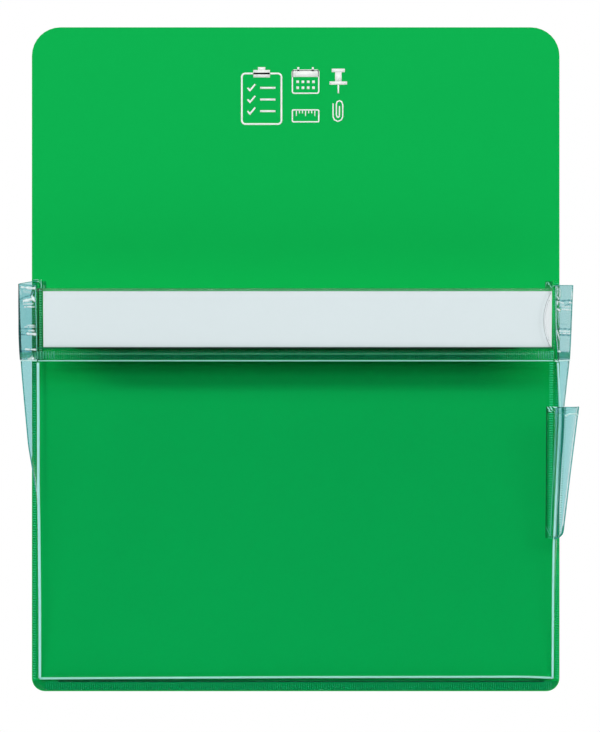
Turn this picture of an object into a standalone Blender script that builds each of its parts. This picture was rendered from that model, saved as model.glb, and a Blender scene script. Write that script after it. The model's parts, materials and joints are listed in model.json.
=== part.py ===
# Magnetic document pocket: a flexible magnet sheet faced in green vinyl, with a clear
# gusseted pocket welded on its lower part, a label in the pocket's mouth and a pen pocket.
# Metres, +Z up. The origin is the centre of the magnet's back face; the front looks along -Y.
# Run it with: blender --background --python part.py

import math

import bpy
import bmesh
from mathutils import Vector

# Magnet sheet and its facing
SHEET_WIDTH = 0.240
SHEET_HEIGHT = 0.302
TOP_CORNER_RADIUS = 0.013
BOTTOM_CORNER_RADIUS = 0.006
MAGNET_THICKNESS = 0.0008
FACING_THICKNESS = 0.0004

# Clear vinyl film, and the gap that two layers of sheet keep
FILM = 0.0004
LAYER_GAP = 0.0001

# Welded margins of the pocket on the facing
EDGE_MARGIN = 0.0003
BOTTOM_SEAM_HEIGHT = 0.0050
SIDE_SEAM_WIDTH = 0.0045
SIDE_SEAM_RISE = 0.0013
SEAM_BEAD_RADIUS = 0.00045

# Pocket front: its length up the film, its side hinge's place, and how far its mouth stands open
PANEL_LENGTH = 0.1810
HINGE_INSET = 0.0030
MOUTH_OPENING = 0.0300
HINGE_CLEARANCE = 0.0004
SIDE_CLEARANCE = 0.0003

# Gussets: each is a strip folded once, wide at the mouth and ending in the bottom corner
FOLD_TOP_DROP = 0.0002
WING_WIDTH = 0.0174
WING_START = 0.0080
FOLD_CLEARANCE = 0.00025

# Hem round the mouth, whose front is the label's sleeve
HEM_HEIGHT = 0.0345
HEM_WELD_HEIGHT = 0.0038
HEM_STEP_HEIGHT = 0.0016
HEM_SIDE_CLEARANCE = 0.0005
LABEL_THICKNESS = 0.00025
LABEL_CLEARANCE = 0.00015
LABEL_LEFT_MARGIN = 0.0030
LABEL_RIGHT_MARGIN = 0.0013
LABEL_TOP_MARGIN = 0.0018
LABEL_LIFT = 0.0013
THUMB_NOTCH_RADIUS = 0.0222
THUMB_NOTCH_DEPTH = 0.0040

# Ribbed flanges where the front film is welded to the gussets
CORNER_SEAM_WIDTH = 0.0020

# Pen pocket on the right edge of the pocket front
PEN_POCKET_DROP = 0.0542
PEN_POCKET_LENGTH = 0.0608
PEN_FLANGE_WIDTH = 0.0025
PEN_FLANGE_SETBACK = 0.0008
PEN_FLANGE_RISE = 0.0009
PEN_REACH_TOP = 0.0112
PEN_REACH_BOTTOM = 0.0043
PEN_STANDOFF = 0.0016
PEN_BULGE_TOP = 0.0090
PEN_END_WELD = 0.0030
PEN_EDGE_WELD = 0.0007
PEN_CORNER_RADIUS = 0.0026
PEN_ROWS = 14
PEN_BULGE_STEPS = 10

ARC_STEPS = 8
BEAD_STEPS = 6

# Colours and finishes
GREEN = (0.004, 0.42, 0.078, 1.0)
MAGNET_BROWN = (0.030, 0.026, 0.024, 1.0)
CLEAR_TINT = (0.62, 0.84, 0.84, 0.35)
CARD_WHITE = (0.86, 0.88, 0.89, 1.0)

# Levels in front of the magnet's back face
FACING_BACK = MAGNET_THICKNESS + LAYER_GAP
FACING_FRONT = FACING_BACK + FACING_THICKNESS
SEAM_LEVEL = FACING_FRONT + LAYER_GAP + FILM / 2
LAYER_STEP = FILM + LAYER_GAP
HINGE_LEVEL = SEAM_LEVEL + 2 * LAYER_STEP

# Places on the sheet, and the angles of the open pocket
POCKET_BOTTOM = -SHEET_HEIGHT / 2 + BOTTOM_SEAM_HEIGHT
POCKET_HALF_WIDTH = SHEET_WIDTH / 2 - HINGE_INSET
SIDE_SEAM_LENGTH = PANEL_LENGTH + SIDE_SEAM_RISE
FOLD_LENGTH = PANEL_LENGTH - FOLD_TOP_DROP
PANEL_HALF_WIDTH = POCKET_HALF_WIDTH - SIDE_CLEARANCE
OPEN_ANGLE = math.asin(MOUTH_OPENING / PANEL_LENGTH)
FOLD_SLANT = math.asin(WING_WIDTH / FOLD_LENGTH)
SEAM_FOLD_ANGLE = math.asin(math.tan(OPEN_ANGLE / 2) / math.tan(FOLD_SLANT))
CENTRE_FOLD_ANGLE = 2 * math.asin(math.sin(OPEN_ANGLE / 2) / math.sin(FOLD_SLANT))
HEM_BOTTOM = PANEL_LENGTH - HEM_HEIGHT
PEN_POCKET_TOP = PANEL_LENGTH - PEN_POCKET_DROP
PEN_POCKET_BOTTOM = PEN_POCKET_TOP - PEN_POCKET_LENGTH

# The card's edges in the sleeve
LABEL_BOTTOM = HEM_BOTTOM + HEM_WELD_HEIGHT + HEM_STEP_HEIGHT + LABEL_LIFT
LABEL_TOP = PANEL_LENGTH - LABEL_TOP_MARGIN
LABEL_LEFT = -PANEL_HALF_WIDTH + LABEL_LEFT_MARGIN
LABEL_RIGHT = PANEL_HALF_WIDTH - LABEL_RIGHT_MARGIN

# Layers on the front film, measured forward from its middle
CORNER_SEAM_LEVEL = LAYER_STEP
LABEL_LEVEL = FILM / 2 + LABEL_CLEARANCE + LABEL_THICKNESS / 2
COVER_LEVEL = LABEL_LEVEL + LABEL_THICKNESS / 2 + LABEL_CLEARANCE + FILM / 2


def clear_scene():
    """Removes everything in the file, so that the part stands alone."""
    for obj in list(bpy.data.objects):
        bpy.data.objects.remove(obj)


def make_collection(name, hidden=False):
    collection = bpy.data.collections.new(name)
    bpy.context.scene.collection.children.link(collection)
    collection.hide_render = hidden
    return collection


def make_material(name, colour, roughness, transmission=0.0):
    material = bpy.data.materials.new(name)
    material.use_nodes = True
    shader = material.node_tree.nodes["Principled BSDF"]
    shader.inputs["Base Color"].default_value = colour
    shader.inputs["Roughness"].default_value = roughness
    shader.inputs["Metallic"].default_value = 0.0
    shader.inputs["Transmission Weight"].default_value = transmission
    shader.inputs["Alpha"].default_value = colour[3]
    material.diffuse_color = colour
    return material


def make_frame(name, location, rotation, parent=None):
    """An empty that carries pieces: its X runs right, its Y up the sheet, its Z forward."""
    frame = bpy.data.objects.new(name, None)
    frame.empty_display_size = 0.01
    frame.location = location
    frame.rotation_euler = rotation
    frame.parent = parent
    COLLECTION.objects.link(frame)
    return frame


def place(obj, frame, material, collection=None):
    (collection or COLLECTION).objects.link(obj)
    obj.parent = frame
    if material:
        obj.data.materials.append(material)
    return obj


def arc(centre, radius, start, end, steps=ARC_STEPS):
    """Points along an arc, from one angle in degrees to another."""
    angles = [math.radians(start + (end - start) * i / steps) for i in range(steps + 1)]
    return [
        (centre[0] + radius * math.cos(a), centre[1] + radius * math.sin(a))
        for a in angles
    ]


def outline_curve(name, points, closed=True):
    """A 2D curve through the points, in the XY plane of its frame."""
    curve = bpy.data.curves.new(name, "CURVE")
    curve.dimensions = "2D"
    spline = curve.splines.new("POLY")
    spline.points.add(len(points) - 1)
    for point, (x, y) in zip(spline.points, points):
        point.co = (x, y, 0, 1)
    spline.use_cyclic_u = closed
    return curve


def flat_sheet(name, points, level, thickness, frame, material):
    """A flat sheet of the given outline, its middle at the given level forward of its frame."""
    curve = outline_curve(name, points)
    curve.fill_mode = "BOTH"
    curve.extrude = thickness / 2
    obj = bpy.data.objects.new(name, curve)
    obj.location = (0, 0, level)
    return place(obj, frame, material)


def as_mesh_object(obj):
    """Turns an evaluated curve into a mesh object of the same name, so that it can be cut."""
    bpy.context.view_layer.update()
    graph = bpy.context.evaluated_depsgraph_get()
    mesh = bpy.data.meshes.new_from_object(obj.evaluated_get(graph))
    welded = bmesh.new()
    welded.from_mesh(mesh)
    bmesh.ops.remove_doubles(welded, verts=welded.verts, dist=1e-6)
    bmesh.ops.recalc_face_normals(welded, faces=welded.faces)
    welded.to_mesh(mesh)
    welded.free()
    name, matrix, frame = obj.name, obj.matrix_world.copy(), obj.parent
    bpy.data.objects.remove(obj)
    made = bpy.data.objects.new(name, mesh)
    COLLECTION.objects.link(made)
    made.parent = frame
    made.matrix_world = matrix
    return made


def rounded_sheet_outline(half_width, bottom, top, bottom_radius, top_radius):
    """A rectangle with one radius at its two lower corners and another at its upper ones."""
    right, left = half_width, -half_width
    return (
        arc((right - bottom_radius, bottom + bottom_radius), bottom_radius, -90, 0)
        + arc((right - top_radius, top - top_radius), top_radius, 0, 90)
        + arc((left + top_radius, top - top_radius), top_radius, 90, 180)
        + arc((left + bottom_radius, bottom + bottom_radius), bottom_radius, 180, 270)
    )


def extruded_profile(name, points, length, frame, location, rotation, material):
    """A closed profile drawn in XY and drawn out by a length, centred on the location."""
    curve = outline_curve(name, points)
    curve.fill_mode = "BOTH"
    curve.extrude = length / 2
    obj = bpy.data.objects.new(name, curve)
    obj.location = location
    obj.rotation_euler = rotation
    return place(obj, frame, material)


def loft_shell(name, sections, thickness, frame, material):
    """An open surface through rows of points, thickened to a film."""
    mesh = bpy.data.meshes.new(name)
    shell = bmesh.new()
    rows = [[shell.verts.new(point) for point in section] for section in sections]
    for lower, upper in zip(rows, rows[1:]):
        for i in range(len(lower) - 1):
            shell.faces.new((lower[i], lower[i + 1], upper[i + 1], upper[i]))
    bmesh.ops.recalc_face_normals(shell, faces=shell.faces)
    shell.to_mesh(mesh)
    shell.free()
    mesh.shade_smooth()
    obj = place(bpy.data.objects.new(name, mesh), frame, material)
    thicken = obj.modifiers.new("film", "SOLIDIFY")
    thicken.thickness = thickness
    thicken.offset = 0
    thicken.use_even_offset = True
    return obj


def build_backing(frame):
    """The magnet sheet, and the green vinyl laminated on its front."""
    half_width, half_height = SHEET_WIDTH / 2, SHEET_HEIGHT / 2
    outline = rounded_sheet_outline(
        half_width, -half_height, half_height, BOTTOM_CORNER_RADIUS, TOP_CORNER_RADIUS
    )
    flat_sheet("magnet_sheet", outline, MAGNET_THICKNESS / 2, MAGNET_THICKNESS, frame, MAGNET)
    level = FACING_BACK + FACING_THICKNESS / 2
    flat_sheet("facing_sheet", outline, level, FACING_THICKNESS, frame, VINYL)


def seam_profile(width):
    """Section of a welded margin: a flat strip with a round bead on its inner edge.

    X runs from the inner edge outward, Y forward from the strip's middle.
    """
    bead = arc((SEAM_BEAD_RADIUS, FILM / 2), SEAM_BEAD_RADIUS, 180, 0, BEAD_STEPS)
    return [(0, -FILM / 2)] + bead + [(width, FILM / 2), (width, -FILM / 2)]


def build_seams(frame):
    """The film's margins, welded to the facing along the sides and the bottom."""
    outer = SHEET_WIDTH / 2 - EDGE_MARGIN
    side_start = POCKET_BOTTOM + LAYER_GAP
    side_length = SIDE_SEAM_LENGTH - LAYER_GAP
    for side, name in ((-1, "left_side_seam"), (1, "right_side_seam")):
        # Local X of the profile runs outward, so the two sides are drawn out opposite ways.
        extruded_profile(
            name,
            seam_profile(SIDE_SEAM_WIDTH),
            side_length,
            frame,
            (side * (outer - SIDE_SEAM_WIDTH), side_start + side_length / 2, SEAM_LEVEL),
            (math.pi / 2, 0, 0 if side > 0 else math.pi),
            FILM_CLEAR,
        )
    height = BOTTOM_SEAM_HEIGHT - EDGE_MARGIN
    strip_bottom = POCKET_BOTTOM - height
    radius = BOTTOM_CORNER_RADIUS - EDGE_MARGIN
    strip = (
        arc((outer - radius, strip_bottom + radius), radius, -90, bottom_arc_end(radius, height))
        + arc((-outer + radius, strip_bottom + radius), radius, 180 - bottom_arc_end(radius, height), 270)
    )
    flat_sheet("bottom_seam", strip, SEAM_LEVEL, FILM, frame, FILM_CLEAR)


def bottom_arc_end(radius, height):
    """Angle at which the corner's arc meets the top of a strip lower than its radius."""
    return math.degrees(math.asin(min(1.0, (height - radius) / radius)))


def build_front_panel(frame):
    """The film that fronts the pocket, and its ribbed flanges along the gussets."""
    right, top = PANEL_HALF_WIDTH, PANEL_LENGTH
    panel = [(-right, HINGE_CLEARANCE), (right, HINGE_CLEARANCE), (right, top), (-right, top)]
    flat_sheet("front_film", panel, 0, FILM, frame, FILM_CLEAR)
    inner = right - CORNER_SEAM_WIDTH
    upper = HEM_BOTTOM - LAYER_GAP
    for side, name in ((-1, "left_corner_seam"), (1, "right_corner_seam")):
        strip = [
            (side * inner, HINGE_CLEARANCE),
            (side * right, HINGE_CLEARANCE),
            (side * right, upper),
            (side * inner, upper),
        ]
        flat_sheet(name, strip, CORNER_SEAM_LEVEL, FILM, frame, FILM_CLEAR)


def cover_centreline():
    """The hem's path up the front: welded margin, step over the label, face, and top fold.

    X runs up the film, Y forward from the front film's middle.
    """
    weld_top = HEM_BOTTOM + HEM_WELD_HEIGHT
    fold_radius = COVER_LEVEL / 2
    fold_centre = (PANEL_LENGTH + LAYER_GAP, fold_radius)
    return (
        [
            (HEM_BOTTOM, LAYER_STEP),
            (weld_top, LAYER_STEP),
            (weld_top + HEM_STEP_HEIGHT, COVER_LEVEL),
        ]
        + arc(fold_centre, fold_radius, 90, -90)
    )


def build_label_cover(frame):
    """The hem's front, folded over the mouth: the clear sleeve, open at its right end."""
    curve = outline_curve("label_cover", cover_centreline(), closed=False)
    curve.extrude = PANEL_HALF_WIDTH
    ribbon = place(bpy.data.objects.new("label_cover", curve), frame, None)
    # The ribbon is drawn up local X, so it is turned to run up the film with its width across.
    ribbon.rotation_euler = (math.radians(90), 0, math.radians(90))
    cover = as_mesh_object(ribbon)
    cover.data.materials.clear()
    cover.data.materials.append(FILM_CLEAR)
    thicken = cover.modifiers.new("film", "SOLIDIFY")
    thicken.thickness = FILM
    thicken.offset = 0
    thicken.use_even_offset = True
    notch = cover.modifiers.new("thumb_notch", "BOOLEAN")
    notch.operation = "DIFFERENCE"
    notch.object = thumb_notch_cutter(frame)


def thumb_notch_cutter(frame):
    """A drum that takes the thumb notch out of the sleeve's right end."""
    bpy.ops.mesh.primitive_cylinder_add(
        vertices=96, radius=THUMB_NOTCH_RADIUS, depth=8 * COVER_LEVEL
    )
    cutter = bpy.context.object
    cutter.name = "thumb_notch_cutter"
    for collection in list(cutter.users_collection):
        collection.objects.unlink(cutter)
    CUTTERS.objects.link(cutter)
    cutter.parent = frame
    middle = (LABEL_BOTTOM + LABEL_TOP) / 2
    centre = PANEL_HALF_WIDTH - THUMB_NOTCH_DEPTH + THUMB_NOTCH_RADIUS
    # The drum stands just clear of the front film, so that it cuts the cover alone.
    cutter.location = (centre, middle, LABEL_LEVEL + 4 * COVER_LEVEL)
    cutter.hide_render = True
    cutter.display_type = "WIRE"
    return cutter


def build_label(frame):
    """The white card in the sleeve, which draws out to the right."""
    card = [
        (LABEL_LEFT, LABEL_BOTTOM),
        (LABEL_RIGHT, LABEL_BOTTOM),
        (LABEL_RIGHT, LABEL_TOP),
        (LABEL_LEFT, LABEL_TOP),
    ]
    flat_sheet("label_card", card, LABEL_LEVEL, LABEL_THICKNESS, frame, CARD)


def wing_outline(side, base, along, width_at, root_gap, top):
    """A gusset wing in its own frame, from its start up to a slanted top edge.

    base and top give the heights of the root and fold ends of those two edges.
    """
    (root_low, fold_low), (root_high, fold_high) = base, top
    return [
        (side * along * root_gap, root_low),
        (side * along * (width_at(fold_low) - FOLD_CLEARANCE), fold_low),
        (side * along * (width_at(fold_high) - FOLD_CLEARANCE), fold_high),
        (side * along * root_gap, root_high),
    ]


def build_gusset(side, name, backing):
    """One gusset: a wing hinged on the side seam, and a wing hinged on it at the fold."""
    slant = math.tan(FOLD_SLANT)
    seam_hinge = make_frame(
        f"{name}_seam_hinge",
        (side * POCKET_HALF_WIDTH, -HINGE_LEVEL, POCKET_BOTTOM),
        (math.pi / 2, 0, -side * SEAM_FOLD_ANGLE),
        backing,
    )
    fold_hinge = make_frame(
        f"{name}_fold_hinge",
        (0, 0, LAYER_STEP / 2),
        (0, side * CENTRE_FOLD_ANGLE, -side * FOLD_SLANT),
        seam_hinge,
    )
    fold_rise = FOLD_LENGTH * math.cos(FOLD_SLANT)
    hem_low = HEM_BOTTOM * math.cos(OPEN_ANGLE)

    def back_width(height):
        return height * slant

    start, hem_side = (WING_START, WING_START), HEM_SIDE_CLEARANCE
    back_top = (SIDE_SEAM_LENGTH, fold_rise)
    back = wing_outline(side, start, 1, back_width, SIDE_CLEARANCE, back_top)
    flat_sheet(f"{name}_back_wing", back, 0, FILM, seam_hinge, FILM_CLEAR)
    hem = wing_outline(side, (hem_low, hem_low), 1, back_width, hem_side, back_top)
    flat_sheet(f"{name}_back_hem", hem, -LAYER_STEP, FILM, seam_hinge, FILM_CLEAR)

    # In the fold's frame the fold runs up Y, and the wing's other edge slants inward from it.
    def front_point(along_fold, from_edge):
        inward = along_fold * slant - from_edge
        return (-side * inward, along_fold)

    def front_outline(low, from_edge):
        edge_top = PANEL_LENGTH * math.cos(FOLD_SLANT)
        return [
            (-side * FOLD_CLEARANCE, low),
            (-side * FOLD_CLEARANCE, FOLD_LENGTH),
            front_point(edge_top, from_edge),
            front_point(low, from_edge),
        ]

    level = LAYER_STEP / 2
    front = front_outline(WING_START, SIDE_CLEARANCE)
    flat_sheet(f"{name}_front_wing", front, level, FILM, fold_hinge, FILM_CLEAR)
    front_hem = front_outline(HEM_BOTTOM, hem_side)
    flat_sheet(f"{name}_front_hem", front_hem, level + LAYER_STEP, FILM, fold_hinge, FILM_CLEAR)


def pen_reach(height):
    """How far the pen pocket reaches past the front film's edge, rounded at its lower corner."""
    share = (height - PEN_POCKET_BOTTOM) / (PEN_POCKET_TOP - PEN_POCKET_BOTTOM)
    reach = PEN_REACH_BOTTOM + share * (PEN_REACH_TOP - PEN_REACH_BOTTOM)
    rise = height - PEN_POCKET_BOTTOM
    if rise < PEN_CORNER_RADIUS:
        drop = PEN_CORNER_RADIUS - rise
        reach -= PEN_CORNER_RADIUS - math.sqrt(PEN_CORNER_RADIUS**2 - drop**2)
    return reach


def pen_bulge(height):
    """How far the pen pocket's front stands off its back: nothing in the welded end."""
    free = PEN_POCKET_TOP - PEN_POCKET_BOTTOM - PEN_END_WELD
    share = max(0.0, (height - PEN_POCKET_BOTTOM - PEN_END_WELD) / free)
    return PEN_BULGE_TOP * math.sin(share * math.pi / 2)


def build_pen_pocket(frame):
    """The pen pocket: two films welded on the right corner flange, at the end and the edge."""
    flange_end = PANEL_HALF_WIDTH - PEN_FLANGE_SETBACK
    flange_start = flange_end - PEN_FLANGE_WIDTH
    tube_start = flange_end + PEN_FLANGE_RISE
    back_flange = CORNER_SEAM_LEVEL + LAYER_STEP
    back_level = FILM / 2 + PEN_STANDOFF
    # The front film bends sooner than the back one, so that the two keep their gap on the rise.
    lean = math.atan2(back_level - back_flange, PEN_FLANGE_RISE)
    sooner = LAYER_STEP * math.tan(lean / 2)
    span = PEN_POCKET_TOP - PEN_POCKET_BOTTOM
    corner_rows = [0, PEN_CORNER_RADIUS * 0.15, PEN_CORNER_RADIUS * 0.5, PEN_CORNER_RADIUS]
    free_rows = [
        PEN_END_WELD + (span - PEN_END_WELD) * i / PEN_ROWS for i in range(PEN_ROWS + 1)
    ]
    back_sections, front_sections = [], []
    for rise in corner_rows + free_rows:
        height = PEN_POCKET_BOTTOM + rise
        edge = PANEL_HALF_WIDTH + pen_reach(height)
        back_sections.append(
            [
                Vector((flange_start, height, back_flange)),
                Vector((flange_end, height, back_flange)),
                Vector((tube_start, height, back_level)),
                Vector((edge, height, back_level)),
            ]
        )
        low, bulge = back_level + LAYER_STEP, pen_bulge(height)
        inner_edge = edge - PEN_EDGE_WELD
        arch = []
        for i in range(PEN_BULGE_STEPS + 1):
            share = i / PEN_BULGE_STEPS
            across = tube_start - sooner + share * (inner_edge - tube_start + sooner)
            arch.append(Vector((across, height, low + bulge * math.sin(math.pi * share))))
        front_sections.append(
            [
                Vector((flange_start, height, back_flange + LAYER_STEP)),
                Vector((flange_end - sooner, height, back_flange + LAYER_STEP)),
            ]
            + arch
            + [Vector((edge, height, low))]
        )
    loft_shell("pen_pocket_back", back_sections, FILM, frame, FILM_CLEAR)
    loft_shell("pen_pocket_front", front_sections, FILM, frame, FILM_CLEAR)


clear_scene()
COLLECTION = make_collection("magnetic_document_pocket")
CUTTERS = make_collection("cutters", hidden=True)
VINYL = make_material("green_vinyl", GREEN, 0.32)
MAGNET = make_material("magnet_rubber", MAGNET_BROWN, 0.75)
FILM_CLEAR = make_material("clear_vinyl_film", CLEAR_TINT, 0.06, transmission=1.0)
CARD = make_material("white_card", CARD_WHITE, 0.55)

backing_origin = make_frame("backing", (0, 0, 0), (0, 0, 0))
sheet_plane = make_frame("sheet_plane", (0, 0, 0), (math.pi / 2, 0, 0), backing_origin)
front_hinge = make_frame(
    "front_hinge",
    (0, -HINGE_LEVEL, POCKET_BOTTOM),
    (math.pi / 2 + OPEN_ANGLE, 0, 0),
    backing_origin,
)

build_backing(sheet_plane)
build_seams(sheet_plane)
build_front_panel(front_hinge)
build_label_cover(front_hinge)
build_label(front_hinge)
build_pen_pocket(front_hinge)
build_gusset(-1, "left", backing_origin)
build_gusset(1, "right", backing_origin)
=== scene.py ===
# %% [markdown]
# # Magnetic document pocket, dressed
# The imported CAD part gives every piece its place, its size and the body that it moves with.
# This lesson dresses it: green vinyl on a flexible magnet, a clear pocket welded on the front,
# a card in a sleeve along its mouth, and a pen pocket on the right side.
# Clear film is the hard part. What one sees of it is mostly its edges, welds and creases, so
# these are modelled as real shapes, and the flat film between them stays quiet.

import json
import math
from functools import partial

import bmesh
import bpy
import numpy as np
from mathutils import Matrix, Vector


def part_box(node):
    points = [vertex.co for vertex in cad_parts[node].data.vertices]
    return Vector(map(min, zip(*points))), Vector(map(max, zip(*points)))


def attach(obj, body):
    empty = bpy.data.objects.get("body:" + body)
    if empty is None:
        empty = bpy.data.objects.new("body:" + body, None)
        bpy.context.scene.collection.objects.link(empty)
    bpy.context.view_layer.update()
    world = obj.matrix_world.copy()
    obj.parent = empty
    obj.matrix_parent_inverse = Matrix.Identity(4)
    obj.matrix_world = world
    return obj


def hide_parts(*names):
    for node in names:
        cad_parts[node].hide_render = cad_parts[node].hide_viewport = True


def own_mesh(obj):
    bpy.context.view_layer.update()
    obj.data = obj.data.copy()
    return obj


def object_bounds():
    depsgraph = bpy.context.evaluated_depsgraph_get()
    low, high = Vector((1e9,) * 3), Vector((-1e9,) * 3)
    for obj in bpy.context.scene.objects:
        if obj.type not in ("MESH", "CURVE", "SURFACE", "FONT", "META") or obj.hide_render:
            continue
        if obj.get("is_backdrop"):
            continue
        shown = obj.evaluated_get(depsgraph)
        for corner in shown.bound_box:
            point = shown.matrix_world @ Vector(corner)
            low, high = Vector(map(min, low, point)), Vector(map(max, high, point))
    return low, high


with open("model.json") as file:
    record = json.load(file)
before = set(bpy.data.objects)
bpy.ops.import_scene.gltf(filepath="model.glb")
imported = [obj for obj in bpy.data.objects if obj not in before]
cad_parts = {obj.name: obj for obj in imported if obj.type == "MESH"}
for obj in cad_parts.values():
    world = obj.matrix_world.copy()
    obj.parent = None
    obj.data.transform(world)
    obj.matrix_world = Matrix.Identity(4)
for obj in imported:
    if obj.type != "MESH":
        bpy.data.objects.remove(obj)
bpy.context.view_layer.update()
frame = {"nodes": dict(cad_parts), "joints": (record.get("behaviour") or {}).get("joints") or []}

# %% [markdown]
# The pocket front is a flat film that leans out from the sheet. Most pieces lie on it, so it gets
# its own ruler: x across, s up the film from its hinge, n out of its front. All of this lesson
# measures in millimetres, and the numbers become metres when a mesh is made.

# %% Places and the leaning front
MM = 0.001
sheet_low, sheet_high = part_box("facing_sheet")
SHEET_FRONT = -sheet_low.y / MM
SHEET_HALF_WIDTH = sheet_high.x / MM
SHEET_BOTTOM = sheet_low.z / MM
PANEL_LENGTH = 181.0
MOUTH_OPENING = 30.0
front_joint = {j["name"]: j for j in frame["joints"]}["front_open"]
HINGE = np.array(front_joint["pos_m"]) / MM
LEAN = math.asin(MOUTH_OPENING / PANEL_LENGTH)
ACROSS = np.array((1.0, 0.0, 0.0))
UP = np.array((0.0, -math.sin(LEAN), math.cos(LEAN)))
OUT = np.array((0.0, -math.cos(LEAN), -math.sin(LEAN)))


def on_front(x, s, n=0.0):
    """Points on the leaning front: x across, s up it, n out of it. Each may be an array."""
    x, s, n = (v[..., None] for v in np.broadcast_arrays(x, s, n))
    return HINGE + UP * s + OUT * n + ACROSS * x


print("lean of the front, degrees:", round(math.degrees(LEAN), 2))
print("top of the mouth:", [round(float(v), 1) for v in on_front(0, PANEL_LENGTH)])

# %% [markdown]
# ## Finishes
# Every finish is a small tree of shader nodes. Adding nodes one by one takes many lines, so a few
# helpers do it: one adds a node with its values and links, and the others are common nodes.


# %% Node helpers
def feed(tree, socket, value):
    """Gives an input a plain value, or a link from another node's output."""
    if isinstance(value, bpy.types.NodeSocket):
        tree.links.new(value, socket)
    else:
        socket.default_value = value


def add_node(tree, kind, **values):
    """Adds a node. Values are its properties, or its inputs when the name is an input's."""
    node = tree.nodes.new(kind)
    for key, value in values.items():
        label = key.replace("_", " ")
        if label in node.inputs:
            feed(tree, node.inputs[label], value)
        else:
            setattr(node, key, value)
    return node


def maths(tree, operation, first, second=0.0):
    node = add_node(tree, "ShaderNodeMath", operation=operation)
    for socket, value in zip(node.inputs, (first, second)):
        feed(tree, socket, value)
    return node.outputs[0]


def mix_colour(tree, amount, first, second, blend="MIX"):
    node = add_node(tree, "ShaderNodeMix", data_type="RGBA", blend_type=blend)
    for label, value in (("Factor", amount), ("A", first), ("B", second)):
        feed(tree, node.inputs[label], value)
    return node.outputs["Result"]


def new_group(name, inputs, outputs):
    group = bpy.data.node_groups.new(name, "ShaderNodeTree")
    for label, value in inputs:
        socket = group.interface.new_socket(label, in_out="INPUT", socket_type="NodeSocketFloat")
        socket.default_value = value
    for label in outputs:
        group.interface.new_socket(label, in_out="OUTPUT", socket_type="NodeSocketFloat")
    given = group.nodes.new("NodeGroupInput").outputs
    return group, given, group.nodes.new("NodeGroupOutput").inputs


def noise(tree, **values):
    return add_node(tree, "ShaderNodeTexNoise", **values).outputs["Fac"]


# %% [markdown]
# Two node groups hold what several finishes share. "surface grain" gives a fine mottled value
# for colour and a height for bump. "film haze" gives the slow waves, the dull patches and the
# hair scratches that make clear vinyl look like a real sheet. They put out values only, and the
# shaders stay in each material.

# %% The shared effects
grain, given, result = new_group(
    "surface grain", [("Scale", 900.0), ("Mottle", 0.06)], ["Shade", "Height"]
)
place = add_node(grain, "ShaderNodeTexCoord").outputs["Object"]
fine = noise(grain, Vector=place, Scale=given["Scale"], Detail=6.0, Roughness=0.6)
broad = noise(grain, Vector=place, Scale=14.0, Detail=3.0)
both = maths(grain, "ADD", *(maths(grain, "SUBTRACT", value, 0.5) for value in (fine, broad)))
swing = maths(grain, "MULTIPLY", both, given["Mottle"])
feed(grain, result["Shade"], maths(grain, "ADD", swing, 1.0))
feed(grain, result["Height"], fine)

haze, given, result = new_group(
    "film haze", [("Gloss", 0.08), ("Dullness", 0.10)], ["Roughness", "Height"]
)
place = add_node(haze, "ShaderNodeTexCoord").outputs["Object"]
waves = noise(haze, Vector=place, Scale=11.0, Detail=2.0)
dull = noise(haze, Vector=place, Scale=60.0, Detail=5.0, Roughness=0.7)
stretch = add_node(haze, "ShaderNodeMapping", Vector=place, Scale=(900.0, 900.0, 26.0))
scratches = noise(haze, Vector=stretch.outputs[0], Scale=1.0, Detail=2.0)
lines = maths(haze, "GREATER_THAN", scratches, 0.70)
rough = maths(haze, "ADD", given["Gloss"], maths(haze, "MULTIPLY", dull, given["Dullness"]))
for label, base, share in (("Roughness", rough, 0.06), ("Height", waves, 0.01)):
    feed(haze, result[label], maths(haze, "ADD", base, maths(haze, "MULTIPLY", lines, share)))
print("node groups:", [g.name for g in bpy.data.node_groups])


# %% [markdown]
# The opaque finishes are plain Principled shaders: green vinyl with a soft sheen and a fine
# grain, the magnet's dark rubber with the faint stripes of its poles, paper, and white ink.


# %% Opaque finishes
def new_material(name):
    material = bpy.data.materials.new(name)
    material.use_nodes = True
    material.node_tree.nodes.clear()
    output = material.node_tree.nodes.new("ShaderNodeOutputMaterial")
    return material, material.node_tree, output.inputs["Surface"]


def use_group(tree, group, **values):
    node = tree.nodes.new("ShaderNodeGroup")
    node.node_tree = group
    for key, value in values.items():
        node.inputs[key].default_value = value
    return node.outputs


def tinted(tree, colour, shade):
    """The colour, made lighter or darker by a value around 1."""
    grey = add_node(tree, "ShaderNodeCombineColor", Red=shade, Green=shade, Blue=shade)
    return mix_colour(tree, 1.0, (*colour, 1.0), grey.outputs[0], "MULTIPLY")


def bump(tree, height, strength, distance):
    values = dict(Height=height, Strength=strength, Distance=distance)
    return add_node(tree, "ShaderNodeBump", **values).outputs[0]


def opaque(name, colour, roughness, scale, mottle, strength, distance, gloss=0.3):
    material, tree, surface = new_material(name)
    texture = use_group(tree, grain, Scale=scale, Mottle=mottle)
    shader = add_node(
        tree,
        "ShaderNodeBsdfPrincipled",
        Base_Color=tinted(tree, colour, texture["Shade"]),
        Roughness=roughness,
        Specular_IOR_Level=gloss,
        Normal=bump(tree, texture["Height"], strength, distance),
    )
    feed(tree, surface, shader.outputs[0])
    return material


green_vinyl = opaque(
    "green_vinyl", (0.0005, 0.43, 0.075), 0.5, 1100.0, 0.05, 0.25, 0.00004, gloss=0.04
)
card_paper = opaque("card_paper", (0.765, 0.81, 0.83), 0.72, 700.0, 0.03, 0.35, 0.00003)
print_ink = opaque("print_ink", (0.90, 0.94, 0.91), 0.45, 900.0, 0.04, 0.15, 0.00002)
magnet_rubber = opaque("magnet_rubber", (0.034, 0.028, 0.025), 0.62, 500.0, 0.25, 0.4, 0.00006)

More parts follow.
